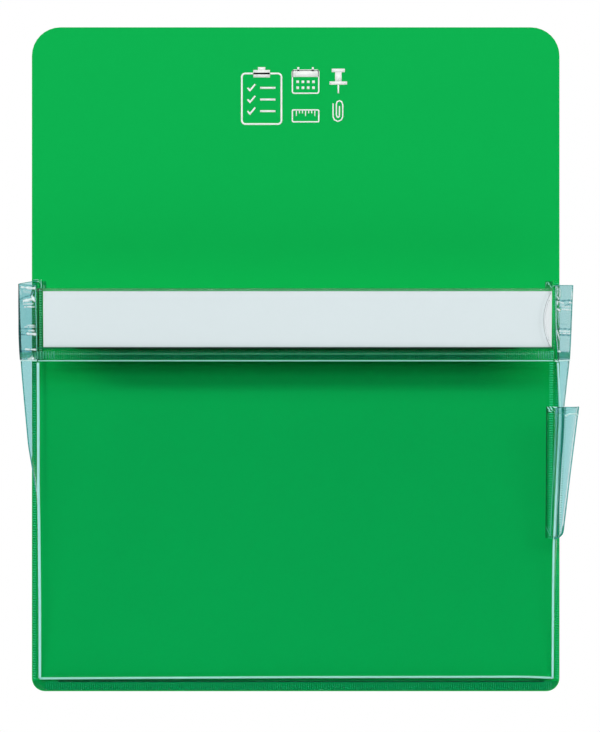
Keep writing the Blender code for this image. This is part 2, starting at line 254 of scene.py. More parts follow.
# the magnet's poles: stripes that are a little duller
tree = magnet_rubber.node_tree
stripes = add_node(
    tree,
    "ShaderNodeTexWave",
    Vector=add_node(tree, "ShaderNodeTexCoord").outputs["Object"],
    wave_type="BANDS",
    bands_direction="X",
    Scale=80.0,
    Distortion=0.6,
    Detail=1.0,
)
shader = next(n for n in tree.nodes if n.type == "BSDF_PRINCIPLED")
sheen = maths(tree, "ADD", maths(tree, "MULTIPLY", stripes.outputs["Fac"], 0.10), 0.56)
feed(tree, shader.inputs["Roughness"], sheen)
opaque_finishes = (green_vinyl, card_paper, print_ink, magnet_rubber)
print("opaque finishes:", [material.name for material in opaque_finishes])

# %% [markdown]
# Clear film is tinted glass with a soft gloss. Lamps don't shine through glass in a path tracer,
# so rays that fetch light meet a plain Transparent shader instead, which also keeps the pocket's
# inside bright. The meshes carry three marks. One mixes in a whitish shader: painted highlights on
# creases and folds, and a faint haze in a few places. The mark "dark" is mostly painted shade,
# under the sleeve, in its weld and along the creases. The mark "plain" makes film plainer over
# other film and over the sheet, and on the front it is painted light where light comes in.


# %% Clear finishes
def mark(tree, name):
    return add_node(tree, "ShaderNodeAttribute", attribute_name=name).outputs["Fac"]


def mix_shader(tree, amount, first, second):
    node = add_node(tree, "ShaderNodeMixShader", Fac=amount)
    tree.links.new(first.outputs[0], node.inputs[1])
    tree.links.new(second.outputs[0], node.inputs[2])
    return node


def clear_film(name, tint, gloss=0.03, dullness=0.06, ior=1.15, shade=None):
    """Tinted clear film. With a shade its mesh carries the marks, dark spots in that shade."""
    material, tree, surface = new_material(name)
    texture = use_group(tree, haze, Gloss=gloss, Dullness=dullness)
    normal = bump(tree, texture["Height"], 0.35, 0.0006)
    colour = (*tint, 1.0)
    if shade:
        colour = mix_colour(tree, mark(tree, "plain"), colour, (0.93, 0.97, 0.97, 1.0))
        colour = mix_colour(tree, mark(tree, "dark"), colour, (*shade, 1.0))
    film = add_node(
        tree,
        "ShaderNodeBsdfPrincipled",
        Base_Color=colour,
        Roughness=texture["Roughness"],
        Transmission_Weight=1.0,
        IOR=ior,
        Normal=normal,
    )
    if shade:
        # a whitish shader for the painted highlights and the faint haze
        cloud = add_node(
            tree,
            "ShaderNodeBsdfPrincipled",
            Base_Color=(0.78, 0.93, 0.93, 1.0),
            Roughness=0.25,
            Normal=normal,
        )
        film = mix_shader(tree, mark(tree, "haze_and_highlight"), film, cloud)
    through = add_node(tree, "ShaderNodeBsdfTransparent", Color=(0.97, 0.99, 0.99, 1.0))
    rays = add_node(tree, "ShaderNodeLightPath").outputs
    for kind in ("Is Diffuse Ray", "Is Shadow Ray"):
        film = mix_shader(tree, rays[kind], film, through)
    feed(tree, surface, film.outputs[0])
    return material


CREASE_SHADE = (0.09, 0.34, 0.38)
front_clear = clear_film("front_clear_film", (0.70, 0.82, 0.93), ior=1.05, shade=(0.08, 0.1, 0.1))
cover_clear = clear_film("cover_clear_film", (0.965, 0.985, 0.985), shade=(0.02, 0.03, 0.06))
gusset_clear = clear_film("gusset_clear_film", (0.56, 0.79, 0.80), ior=1.03, shade=CREASE_SHADE)
left_hem = clear_film("left_hem_film", (0.46, 0.715, 0.73), ior=1.1, shade=CREASE_SHADE)
right_hem = clear_film("right_hem_film", (0.59, 0.78, 0.79), ior=1.1, shade=CREASE_SHADE)
pen_clear = clear_film("pen_clear_film", (0.56, 0.79, 0.80), shade=CREASE_SHADE)
pen_back_clear = clear_film("pen_back_film", (0.56, 0.79, 0.80))
pen_hem_clear = clear_film("pen_hem_film", (0.86, 0.94, 0.93), shade=CREASE_SHADE)
weld_clear = clear_film("weld_clear_film", (0.96, 0.99, 1.0), gloss=0.1, dullness=0.2, ior=1.08)
margin_clear = clear_film("margin_weld_film", (0.55, 0.80, 0.93), gloss=0.1, ior=1.08)
bottom_clear = clear_film("bottom_weld_film", (0.25, 0.54, 0.62), gloss=0.1)
print("clear films:", [m.name for m in bpy.data.materials if m.name.endswith("film")])

# %% [markdown]
# Light that runs inside a film comes out at its edges and folds, and a tracer would need very
# many samples to find it. So edges get finishes of their own that are nearly opaque: the pale ones
# are that light, painted as a glow, and the dark ones are painted shade lines, under the card and
# below the bottom fold, besides a few grooves where the tool has squeezed the film.


# %% Film edges
def film_edge(name, colour, opacity, gloss=0.5):
    """A cut or folded edge of film, which shines pale because light runs out of it."""
    material, tree, surface = new_material(name)
    sheen = use_group(tree, haze, Gloss=0.10, Dullness=0.15)
    patches = use_group(tree, grain, Scale=160.0, Mottle=0.16)
    shader = add_node(
        tree,
        "ShaderNodeBsdfPrincipled",
        Base_Color=tinted(tree, colour, patches["Shade"]),
        Roughness=sheen["Roughness"],
        Specular_IOR_Level=gloss,
        Alpha=opacity,
        Normal=bump(tree, sheen["Height"], 0.3, 0.0004),
    )
    feed(tree, surface, shader.outputs[0])
    return material


fold_edge = film_edge("folded_film_edge", (0.43, 0.88, 0.84), 0.92)
hem_edge = film_edge("hem_film_edge", (0.36, 0.80, 0.72), 0.75)
cut_edge = film_edge("cut_film_edge", (0.30, 0.66, 0.58), 0.35)
dark_edge = film_edge("dark_film_edge", (0.002, 0.075, 0.075), 0.9, 0.1)
line_edge = film_edge("shaded_film_edge", (0.004, 0.060, 0.030), 0.75, 0.1)
outline_edge = film_edge("outlined_film_edge", (0.06, 0.42, 0.40), 0.8, 0.1)
groove_edge = film_edge("groove_film_edge", (0.004, 0.24, 0.16), 0.75, 0.1)
root_edge = film_edge("pen_root_film_edge", (0.10, 0.55, 0.38), 0.75, 0.1)
foot_edge = film_edge("pen_foot_film_edge", (0.012, 0.32, 0.23), 0.85, 0.2)
# The rib finishes are paler than the weld under them: a painted glint on each rib.
pale_rib_edge = film_edge("pale_rib_film_edge", (0.03, 0.66, 0.29), 0.8, 0.1)
soft_rib_edge = film_edge("soft_rib_film_edge", (0.07, 0.44, 0.25), 0.75, 0.1)
bright_edge = film_edge("bright_film_edge", (0.62, 0.97, 0.93), 0.85)
notch_light = film_edge("notch_light_edge", (0.90, 0.97, 0.98), 0.4, 0.2)
shade_edge = film_edge("sleeve_shade_edge", (0.004, 0.17, 0.055), 0.9, 0.1)
notch_edge = film_edge("notch_film_edge", (0.24, 0.28, 0.30), 0.4, 0.2)
# a faint painted glint on the ribs
rib_edge = film_edge("rib_film_edge", (0.01, 0.60, 0.26), 0.2, 0.2)
# painted shadow under the card's lower edge
card_shadow_edge = film_edge("card_shadow_film_edge", (0.001, 0.022, 0.008), 0.95, 0.1)
seam_edge = film_edge("seam_film_edge", (0.33, 0.76, 0.64), 0.92, 0.3)
print("edges:", [m.name for m in bpy.data.materials if m.name.endswith("edge")])

# %% [markdown]
# ## The backing
# The magnet and its green vinyl are flat sheets with rounded corners, and the CAD has them
# exactly. They and the card keep their meshes and only get their finishes.

# %% Finish the CAD sheets
for node, material in (
    ("magnet_sheet", magnet_rubber),
    ("facing_sheet", green_vinyl),
    ("label_card", card_paper),
):
    slots = frame["nodes"][node].data.materials
    slots.clear()
    slots.append(material)
    print(node, "is finished in", material.name)

# %% [markdown]
# ## Welded ribs
# The welding tool leaves a row of fine ribs across every weld. They repeat along a path, so one
# Geometry Nodes tree makes them all: it walks the path at a pitch and sets one small rounded
# rib at each stop, turned across the path and raised along a given normal.


# %% The rib tree
rib_tree = bpy.data.node_groups.new("weld ribs", "GeometryNodeTree")
rib_sockets = {}
for label, kind in (
    ("Geometry", "Geometry"),
    ("Pitch", "Float"),
    ("Rib Length", "Float"),
    ("Rib Width", "Float"),
    ("Rib Height", "Float"),
    ("Facing", "Vector"),
    ("Finish", "Material"),
):
    kind = "NodeSocket" + kind
    made = rib_tree.interface.new_socket(label, in_out="INPUT", socket_type=kind)
    rib_sockets[label] = made.identifier
rib_tree.interface.new_socket("Geometry", in_out="OUTPUT", socket_type="NodeSocketGeometry")
given = rib_tree.nodes.new("NodeGroupInput").outputs
out = rib_tree.nodes.new("NodeGroupOutput")


def geometry_node(kind, links=(), **properties):
    node = rib_tree.nodes.new(kind)
    for key, value in properties.items():
        setattr(node, key, value)
    for socket, label in links:
        rib_tree.links.new(socket, node.inputs[label])
    return node


path = geometry_node("GeometryNodeMeshToCurve", [(given["Geometry"], "Mesh")])
stops = geometry_node("GeometryNodeResampleCurve", [(path.outputs[0], "Curve")], mode="LENGTH")
rib_tree.links.new(given["Pitch"], stops.inputs["Length"])
rod = geometry_node("GeometryNodeMeshCylinder")
rod.inputs["Vertices"].default_value = 8
rod.inputs["Radius"].default_value = 0.5
rod.inputs["Depth"].default_value = 1.0
along = geometry_node("GeometryNodeInputTangent")
across = geometry_node("ShaderNodeVectorMath", operation="CROSS_PRODUCT")
rib_tree.links.new(along.outputs[0], across.inputs[0])
rib_tree.links.new(given["Facing"], across.inputs[1])
lie = geometry_node("FunctionNodeAlignRotationToVector", [(across.outputs[0], "Vector")], axis="Z")
turn = geometry_node(
    "FunctionNodeAlignRotationToVector",
    [(lie.outputs[0], "Rotation"), (along.outputs[0], "Vector")],
    axis="X",
    pivot_axis="Z",
)
size = geometry_node(
    "ShaderNodeCombineXYZ",
    [(given["Rib Width"], "X"), (given["Rib Height"], "Y"), (given["Rib Length"], "Z")],
)
ribs = geometry_node(
    "GeometryNodeInstanceOnPoints",
    [
        (stops.outputs[0], "Points"),
        (rod.outputs[0], "Instance"),
        (turn.outputs[0], "Rotation"),
        (size.outputs[0], "Scale"),
    ],
)
real = geometry_node("GeometryNodeRealizeInstances", [(ribs.outputs[0], "Geometry")])
finish = geometry_node(
    "GeometryNodeSetMaterial", [(real.outputs[0], "Geometry"), (given["Finish"], "Material")]
)
rib_tree.links.new(finish.outputs[0], out.inputs[0])
print("nodes of the rib tree:", len(rib_tree.nodes))

# %% [markdown]
# The tree works as a modifier on a short-lived path. What it makes is kept as a plain mesh that
# exports everywhere, and the path goes. One function does this for every weld of the object.

# %% Rows of ribs
RIB_PITCH = 1.1


def weld_ribs(
    name, path, facing, length, body, pitch=RIB_PITCH, width=0.5, height=0.24, finish=rib_edge
):
    """Ribs along a path in millimetres, as one plain mesh that rides on a body."""
    data = bpy.data.meshes.new(name + "_path")
    points = [tuple(point * MM) for point in path]
    data.from_pydata(points, [(i, i + 1) for i in range(len(points) - 1)], [])
    guide = bpy.data.objects.new(name + "_path", data)
    bpy.context.scene.collection.objects.link(guide)
    modifier = guide.modifiers.new("ribs", "NODES")
    modifier.node_group = rib_tree
    for label, value in (
        ("Pitch", pitch * MM),
        ("Rib Length", length * MM),
        ("Rib Width", width * MM),
        ("Rib Height", height * MM),
        ("Facing", tuple(facing)),
        ("Finish", finish),
    ):
        modifier[rib_sockets[label]] = value
    bpy.context.view_layer.update()
    graph = bpy.context.evaluated_depsgraph_get()
    made = bpy.data.meshes.new_from_object(guide.evaluated_get(graph))
    bpy.data.objects.remove(guide)
    piece = bpy.data.objects.new(name, made)
    made.shade_smooth()
    bpy.context.scene.collection.objects.link(piece)
    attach(piece, body)
    corners = np.array([v.co for v in made.vertices]) / MM
    print(name, "box, mm:", np.round(corners.min(0), 1), np.round(corners.max(0), 1))
    return piece


# %% [markdown]
# ## Helpers for film
# Real film is cut from a roll and lies in gentle curves, so a grid of points with a thickness
# describes it. A flat plane with a Solidify modifier would do too, but a grid that is pushed both
# ways along its normals can follow a table row by row, and can carry marks for its finish. The
# rim is closed, so each film is a closed body that faces out.


# %% Film helpers
FILM = 0.3
piece_finishes = []


def grid_normals(points):
    """Unit normals of a grid of points with shape rows, columns, 3."""
    along = np.gradient(points, axis=1)
    up = np.gradient(points, axis=0)
    normal = np.cross(along, up)
    return normal / np.maximum(np.linalg.norm(normal, axis=2, keepdims=True), 1e-9)


def finish_number(finish):
    """The number of a finish in the piece that is being made."""
    if finish not in piece_finishes:
        piece_finishes.append(finish)
    return piece_finishes.index(finish)


def add_film(mesh, points, finish, thickness=FILM, marks=None):
    """Adds a closed film around a grid of points. Its front is where columns x rows point."""
    points = np.asarray(points, float)
    rows, columns = points.shape[:2]
    number = finish_number(finish)
    marks = marks or {}
    store = {n: mesh.verts.layers.float.get(n) or mesh.verts.layers.float.new(n) for n in marks}
    push = grid_normals(points) * thickness / 2
    front, back = (
        [[mesh.verts.new(p * MM) for p in row] for row in layer]
        for layer in (points + push, points - push)
    )
    faces = []
    for r in range(rows - 1):
        for c in range(columns - 1):
            faces.append((front[r][c], front[r][c + 1], front[r + 1][c + 1], front[r + 1][c]))
            faces.append((back[r][c], back[r + 1][c], back[r + 1][c + 1], back[r][c + 1]))
    for c in range(columns - 1):
        faces.append((front[0][c + 1], front[0][c], back[0][c], back[0][c + 1]))
        faces.append((front[-1][c], front[-1][c + 1], back[-1][c + 1], back[-1][c]))
    for r in range(rows - 1):
        faces.append((front[r][0], front[r + 1][0], back[r + 1][0], back[r][0]))
        faces.append((front[r + 1][-1], front[r][-1], back[r][-1], back[r + 1][-1]))
    for face in faces:
        mesh.faces.new(face).material_index = number
    for name, values in marks.items():
        for r in range(rows):
            for c in range(columns):
                front[r][c][store[name]] = back[r][c][store[name]] = float(values[r][c])


def film_marks(plain=0.0, haze_and_highlight=0.0, dark=0.0):
    """All three marks of a film, as grids. What isn't given is nought everywhere."""
    marks = np.broadcast_arrays(plain, haze_and_highlight, dark)
    return dict(zip(("plain", "haze_and_highlight", "dark"), marks))


# %% [markdown]
# The last helper turns what was collected into an object. Films look right when they are smooth
# with crisp rims, so only edges that bend by more than 40 degrees are kept sharp.


# %% Piece helper
def make_piece(mesh, name, sharp_degrees=40):
    """Turns the collected faces into an object, smooth but for its sharp edges."""
    for edge in mesh.edges:
        if edge.is_manifold:
            edge.smooth = edge.calc_face_angle(0) < math.radians(sharp_degrees)
    for face in mesh.faces:
        face.smooth = True
    data = bpy.data.meshes.new(name)
    mesh.to_mesh(data)
    mesh.free()
    for finish in piece_finishes:
        data.materials.append(finish)
    piece_finishes.clear()
    piece = bpy.data.objects.new(name, data)
    bpy.context.scene.collection.objects.link(piece)
    print(f"{name}: {len(data.polygons)} faces")
    return piece


# %% [markdown]
# ## Welds on the backing
# The pocket's film is welded to the green sheet in a U: two side margins and one along the
# bottom. Each is a flat strip of film with its row of ribs. The side margins run a little above
# the mouth, where the gusset's hem is caught in the weld and stands off in a small pucker.

# %% Side margins
RIM = 0.3
SEAM_LEVEL = SHEET_FRONT + 0.3
SEAM_BOTTOM = HINGE[2]
SEAM_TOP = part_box("left_side_seam")[1].z / MM
SEAM_OUTER = SHEET_HALF_WIDTH - RIM
SEAM_INNER = 117.2
RIB_MIDDLE = 118.9
RIB_LEVEL = SEAM_LEVEL + 0.16
FORWARD = (0, -1, 0)
SIDES = ((-1, "left"), (1, "right"))


def on_sheet(x, z, level):
    """Points before the backing: x across, z up, level out from the magnet's back."""
    x, z, level = np.broadcast_arrays(x, z, level)
    return np.stack((x, -level, z), axis=-1)


for side, word in SIDES:
    mesh = bmesh.new()
    share = np.linspace(0, 1, 9)[::side]
    x = side * (SEAM_INNER + share * (SEAM_OUTER - SEAM_INNER))
    z = np.linspace(SEAM_BOTTOM - 0.1, SEAM_TOP, 120)[:, None]
    # a low rounded rise along the inner edge
    rise = 0.35 * np.exp(-((share / 0.16) ** 2))
    finish = margin_clear if side < 0 else weld_clear
    add_film(mesh, on_sheet(x, z, SEAM_LEVEL + rise), finish)
    margin = make_piece(mesh, f"{word}_side_margin")
    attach(margin, "backing")
    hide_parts(f"{word}_side_seam")
    path = on_sheet(side * RIB_MIDDLE, (SEAM_BOTTOM + 1.0, SEAM_TOP - 2.0), RIB_LEVEL)
    weld_ribs(f"{word}_side_ribs", path, FORWARD, 1.5, "backing", width=0.45, finish=pale_rib_edge)

# %% [markdown]
# Where film is folded or cut its edge catches the light as a thin line. That line is a bead here:
# a round rod along a path. A curve with a bevel would look the same, but a bead joins its film
# in one mesh and its radius can change on the way. A pucker is a short soft bead.


# %% Bead helpers
def add_bead(mesh, path, radius, finish, sides=10, flatten=1.0):
    """Adds a round rod along a path, closed at both ends. The radius may change on the way."""
    radii = np.broadcast_to(radius, len(path))
    tangents = np.gradient(path, axis=0)
    tangents /= np.linalg.norm(tangents, axis=1, keepdims=True)
    across = np.cross(tangents[0], (0.0, 1.0, 0.0))
    if np.linalg.norm(across) < 0.1:
        across = np.cross(tangents[0], (1.0, 0.0, 0.0))
    rings = []
    for point, tangent, size in zip(path, tangents, radii):
        across = across - tangent * (across @ tangent)
        across /= np.linalg.norm(across)
        third = np.cross(tangent, across)
        ring = []
        for k in range(sides):
            a = 2 * math.pi * k / sides
            offset = across * math.cos(a) + third * math.sin(a) * flatten
            ring.append(mesh.verts.new((point + offset * size) * MM))
        rings.append(ring)
    faces = []
    for lower, upper in zip(rings, rings[1:]):
        for k in range(sides):
            m = (k + 1) % sides
            faces.append((lower[k], lower[m], upper[m], upper[k]))
    number = finish_number(finish)
    for face in (*faces, rings[0][::-1], rings[-1]):
        mesh.faces.new(face).material_index = number


PUCKER_STEPS = 24
PUCKER_SMOOTHINGS = 8


def add_pucker(mesh, knots, place, radius, finish):
    """A small raised crease: a soft line through a few knots, thinner towards both ends."""
    knots = np.array(knots, float)
    at = np.linspace(0, len(knots) - 1, PUCKER_STEPS)
    line = np.stack([np.interp(at, range(len(knots)), column) for column in knots.T], axis=1)
    for _ in range(PUCKER_SMOOTHINGS):
        line[1:-1] = (line[:-2] + 2 * line[1:-1] + line[2:]) / 4
    radii = radius * (0.35 + 0.65 * np.sin(np.linspace(0, math.pi, PUCKER_STEPS)))
    add_bead(mesh, place(*line.T), radii, finish, sides=8, flatten=0.7)


# %% [markdown]
# Above the mouth each side weld ends in a small puckered tab, where the tool has squeezed the hem
# together. It is a scrap of film with a few raised creases. A cloth simulation would be hard to
# steer to the right folds, so a wavy grid and a few soft beads stand for them.

# %% Puckered tabs
PUCKERS = {
    -1: [
        ([(119.4, 36.1), (117.6, 36.2), (116.4, 35.9)], 0.14),
        ([(118.8, 35.1), (117.0, 35.4), (116.2, 34.9)], 0.14),
        ([(115.7, 36.4), (115.9, 35.0), (115.6, 33.2), (116.0, 31.8)], 0.20),
        ([(114.6, 34.0), (114.4, 32.9), (114.9, 31.6)], 0.10),
    ],
    1: [
        ([(113.7, 32.9), (113.8, 34.4), (114.6, 35.3), (115.3, 34.6), (115.4, 33.6)], 0.11),
        ([(115.6, 33.8), (116.0, 32.9), (116.8, 32.4)], 0.16),
        ([(115.1, 34.6), (115.0, 34.2), (115.25, 33.8)], 0.34),
        ([(116.4, 33.1), (117.6, 33.4), (118.7, 33.4)], 0.14),
    ],
}
for side, word in SIDES:
    mesh = bmesh.new()
    x, z = np.linspace(113.4, 116.8, 12)[::side], np.linspace(31.2, 35.4, 14)[:, None]
    pucker = 0.35 * np.sin(2.2 * z + 1.7 * x) * np.sin(math.pi * (x - 113.4) / 3.4)
    add_film(mesh, on_sheet(side * x, z, SEAM_LEVEL + 0.45 + pucker), bottom_clear, 0.2)
    for knots, radius in PUCKERS[side]:
        knots = [(side * x, z) for x, z in knots]
        add_pucker(mesh, knots, partial(on_sheet, level=SEAM_LEVEL + 0.8), radius, hem_edge)
    tab = make_piece(mesh, f"{word}_weld_tab")
    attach(tab, "backing")

# %% [markdown]
# The bottom margin is the third side of the U. It follows the sheet's rounded corners, so its
# lower edge is cut to that arc. A boolean could cut it, but here each row of the grid simply
# gets shorter, which leaves clean faces.

# %% Bottom margin
CORNER = 6.0 - RIM


def stretches(*parts):
    """Even steps in stretches of (first, last, count). An end that is an array makes rows."""
    rows = np.broadcast_shapes(*(np.shape(end) for part in parts for end in part[:2]))
    lines = [np.linspace(np.broadcast_to(a, rows), b, count, axis=-1) for a, b, count in parts]
    return np.concatenate(lines, axis=-1)


def corner_inset(rise, radius):
    """How far a rounded corner takes an edge in, at a height above its lower end."""
    below = np.clip(radius - rise, 0.0, radius)
    return radius - np.sqrt(radius**2 - below**2)


mesh = bmesh.new()
seam_low, seam_high = SHEET_BOTTOM + RIM, SEAM_BOTTOM - 0.15
z = np.linspace(seam_low, seam_high, 14)
edge = SEAM_OUTER - corner_inset(z - seam_low, CORNER)
add_film(mesh, on_sheet(stretches((-edge, edge, 60)), z[:, None], SEAM_LEVEL), bottom_clear)
# a painted shadow line just below the bottom fold
shaded = on_sheet(np.linspace(-108, 113, 60), SEAM_BOTTOM - 0.35, SEAM_LEVEL + 0.2)
add_bead(mesh, shaded, 0.3, line_edge, sides=8)
bottom_margin = make_piece(mesh, "bottom_margin")
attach(bottom_margin, "backing")
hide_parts("bottom_seam")
path = on_sheet((-113.5, 116.0), (seam_low + seam_high) / 2, RIB_LEVEL)
weld_ribs("bottom_ribs", path, FORWARD, 3.9, "backing", pitch=1.0)

# %% [markdown]
# ## The pocket front
# One flat film with a very slight sag. Its right edge is drawn out a few millimetres where the
# pen pocket hangs on it, so that edge follows a table. Under the hem its colour gets a painted
# shade, where the sleeve keeps light off it, with painted light under both ends of the hem and a
# painted shadow along its left edge. Tables say how much. They are read for the whole grid
# at once.

# %% Front film
HEM_BOTTOM = 147.2
RIGHT_EDGE = [(0, 116.8), (45, 116.75), (62, 116.9), (80, 117.6), (95, 118.25), (112, 118.95)]
RIGHT_EDGE += [(122, 119.4), (130, 119.2), (147, 118.25), (160, 117.0), (181, 116.7)]
LEFT_EDGE = [(0, 116.3), (35, 116.1), (70, 116.2), (90, 116.4), (120, 116.2), (147, 116.2)]
LEFT_EDGE += [(160, 116.4), (181, 116.7)]
side_table = {-1: LEFT_EDGE, 1: RIGHT_EDGE}


def read_table(table, at):
    """Reads a table of (place, value) pairs, straight from each pair to the next."""
    return np.interp(at, *zip(*table))


def smooth_table(table, at, steps=400, window=25):
    """Reads a table of (place, value) pairs with a soft curve between them."""
    places, values = (np.array(v, float) for v in zip(*sorted(table)))
    fine = np.linspace(places[0], places[-1], steps)
    line = np.interp(fine, places, values)
    kernel = np.hanning(window) / np.hanning(window).sum()
    half = window // 2
    padded = np.concatenate((np.full(half, line[0]), line, np.full(half, line[-1])))
    return np.interp(at, fine, np.convolve(padded, kernel, "valid"))


def front_edge(side, s):
    return side * smooth_table(side_table[side], s)


def end_fade(x):
    """The hem's shade is full along its middle and weak at both ends, where light comes in."""
    return np.interp(np.abs(x), (80, 96, 109), (1.0, 0.5, 0.05))


# How dark the painted shade is below the hem's weld: in its first millimetres, and lower down
NEAR_SHADE = [(0, 0.60), (0.7, 0.59), (2, 0.30), (3.4, 0.13), (5, 0.10), (7, 0)]
FAR_SHADE = [(3, 0), (4.8, 0.09), (6.2, 0.20), (7.6, 0.28), (9, 0.34), (10.3, 0.37), (11.7, 0.31)]
FAR_SHADE += [(13.1, 0.21), (14.5, 0.11), (17.3, 0.08), (20, 0.04), (60, 0.02), (120, 0)]
FAR_FADE = [(-105, 0), (-91, 0.35), (-75, 0.9), (-60, 1), (85, 1), (92, 0.9), (100, 0.7)]
FAR_FADE += [(112, 0.3)]


def front_shade(x, s):
    """Painted shade on the front: under the hem's weld, and a shadow along its left edge."""
    below = np.maximum(0.0, HEM_BOTTOM - s)
    near = read_table(NEAR_SHADE, below) * end_fade(x)
    weld = (below > 0) * (near + read_table(FAR_SHADE, below) * read_table(FAR_FADE, x))
    edge_shadow = 0.24 * np.exp(-(((x + 113.2) / 0.9) ** 2))
    return np.minimum(0.9, weld + edge_shadow * np.exp(-below / 60))


def front_painted_light(x, s):
    """Painted light on the front: under both ends of the hem, where light comes in."""
    return np.interp(np.abs(x), (80, 95), (0, 1)) * np.interp(HEM_BOTTOM - s, (6, 14), (1, 0))


heights = stretches((0.5, 127, 60), (128, HEM_BOTTOM, 40), (148, PANEL_LENGTH - 0.6, 16))
left, right = front_edge(-1, heights) + 0.3, front_edge(1, heights) - 0.3
x = stretches((left, -105, 20), (-102, 102, 40), (105, right, 20))
s, left, right = (column[:, None] for column in (heights, left, right))
free = np.sin(math.pi * np.minimum(1.0, s / HEM_BOTTOM))
sag = -0.25 * free * np.sin(math.pi * (x - left) / (right - left))
mesh = bmesh.new()
marks = film_marks(plain=front_painted_light(x, s), dark=front_shade(x, s))
add_film(mesh, on_front(x, s, sag), front_clear, FILM, marks)
front_film = make_piece(mesh, "pocket_front")
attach(front_film, "front")
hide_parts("front_film")

# %% [markdown]
# A folded bead runs down both sides and along the bottom: there the film turns back to the
# gussets and the weld, and the tight fold shows as the bright line that frames the pocket.

# %% The bright folded beads
BEAD = 0.62
LIFT = [(-117, 0.9), (-60, 1.2), (0, 1.5), (70, 1.6), (104, 1.7), (112, 1.4), (117, 1.1)]
mesh = bmesh.new()
s = np.linspace(1.0, HEM_BOTTOM - 0.8, 90)
for side, radius in ((-1, BEAD), (1, np.interp(s, (122, 131), (0.50, 0.38)))):
    add_bead(mesh, on_front(front_edge(side, s), s, 0.15), radius, fold_edge)
x = np.linspace(front_edge(-1, 0), front_edge(1, 0), 110)
add_bead(mesh, on_front(x, smooth_table(LIFT, x), 0.1), 0.52, seam_edge)
beads = make_piece(mesh, "folded_beads")
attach(beads, "front")

# %% [markdown]
# ## The label sleeve
# The front's film is folded forward over the mouth and welded down again 34 mm lower, which
# makes a flat sleeve for the card. Its right end has a thumb notch: the edge of the cover is cut
# back in a shallow arc, so each row of the grid simply ends on that arc.

# %% Sleeve shape
NOTCH_RADIUS = 24.5
NOTCH_DEPTH = 5.0
COVER_EDGE = 116.6
TOP_FOLD = PANEL_LENGTH - 1.7
card_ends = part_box("label_card")
CARD_BOTTOM, CARD_TOP = ((end.z / MM - HINGE[2]) / math.cos(LEAN) for end in card_ends)
NOTCH_MIDDLE = (CARD_BOTTOM + CARD_TOP) / 2


def cover_right(s):
    """Where the cover ends on the right: its edge, or the arc of the thumb notch."""
    centre = COVER_EDGE - NOTCH_DEPTH + NOTCH_RADIUS
    reach = np.maximum(0.0, NOTCH_RADIUS**2 - (s - NOTCH_MIDDLE) ** 2)
    return np.minimum(COVER_EDGE, centre - np.sqrt(reach))


def soft_step(share):
    """Goes from 0 to 1 with a soft start and a soft end."""
    share = np.clip(share, 0.0, 1.0)
    return share * share * (3 - 2 * share)


def cover_level(s):
    """How far the cover stands off the front: flat in its weld, then a soft step and a crown."""
    crown = np.maximum(0.0, np.sin(math.pi * (s - HEM_BOTTOM - 5) / 29.0))
    return 0.48 + 0.47 * soft_step((s - HEM_BOTTOM - 3.6) / 1.8) + 0.12 * crown


# How dark the film is: a painted shade up through its weld, below the card, and across its two
# welded ends
WELD_SHADE = [(147.2, 0.0), (148.1, 0.3), (148.6, 0.78), (150.0, 0.76), (150.35, 0.4)]
WELD_SHADE += [(150.75, 0.35), (151.1, 0.66), (152.4, 0.72), (152.8, 0.85), (153.1, 0.85)]
WELD_SHADE += [(153.4, 0)]
LEFT_SHADE = [(113.6, 0), (113.9, 0.3), (114.3, 0.65), (114.7, 0.35), (115.4, 0.4)]
LEFT_SHADE += [(115.7, 0.9), (116.1, 0.9), (116.4, 0.35), (116.6, 0.3)]
RIGHT_SHADE = [(113.6, 0), (113.9, 0.15), (114.8, 0.15), (115.2, 0.0), (116.6, 0.0)]


def cover_shade(x, s):
    """Darker cover: painted shade in its weld and beside the notch, its two ends, its top fold."""
    weld = read_table(WELD_SHADE, s) * end_fade(x)
    end = read_table(LEFT_SHADE, -x) * (x < 0) + read_table(RIGHT_SHADE, x) * (x >= 0)
    # a painted shadow of the notch's cut edge, beside it
    beside_notch = (cover_right(s) - x - 1.7) / 0.8
    soft = 0.05 * np.exp(-(beside_notch**2)) * (cover_right(s) < COVER_EDGE)
    top = 0.18 * (s > TOP_FOLD)
    return 1 - (1 - weld) * (1 - end) * (1 - soft) * (1 - top)


print("card, up the front:", round(CARD_BOTTOM, 1), "to", round(CARD_TOP, 1))

# %% [markdown]
# The cover's grid runs up the sleeve and turns back over the mouth in a tight fold, with a painted
# highlight along that fold. Beads mark its weld, the painted shadow under the card, and the cut
# edge of the notch with a painted sheen beside it.

# %% Sleeve cover
heights = stretches((HEM_BOTTOM, 153.6, 32), (154.2, PANEL_LENGTH - 1.1, 46))
levels = cover_level(heights)
turn = np.linspace(0.3, math.pi, 8)
levels = np.append(levels, levels[-1] / 2 * (1 + np.cos(turn)))
heights = np.append(heights, heights[-1] + 0.45 * np.sin(turn))
x = stretches((-COVER_EDGE, -113, 16), (-111, 103, 40), (104, cover_right(heights), 40))
s = heights[:, None]
# a painted highlight along the top fold, and a faint whitish haze at the left end
clouds = 0.03 * (s > TOP_FOLD) + 0.008 * (x < -114)
mesh = bmesh.new()
marks = film_marks(haze_and_highlight=clouds, dark=cover_shade(x, s))
add_film(mesh, on_front(x, s, levels[:, None]), cover_clear, FILM, marks)
x = np.linspace(-116.2, 116.2, 80)
for s, level, radius, finish in (
    (HEM_BOTTOM + 0.25, 0.62, 0.27, hem_edge),
    (HEM_BOTTOM + 3.35, 0.66, 0.10, cut_edge),
    (CARD_BOTTOM + 0.22, 1.0, 0.44, shade_edge),
):
    add_bead(mesh, on_front(x, s, level), radius, finish, sides=8)
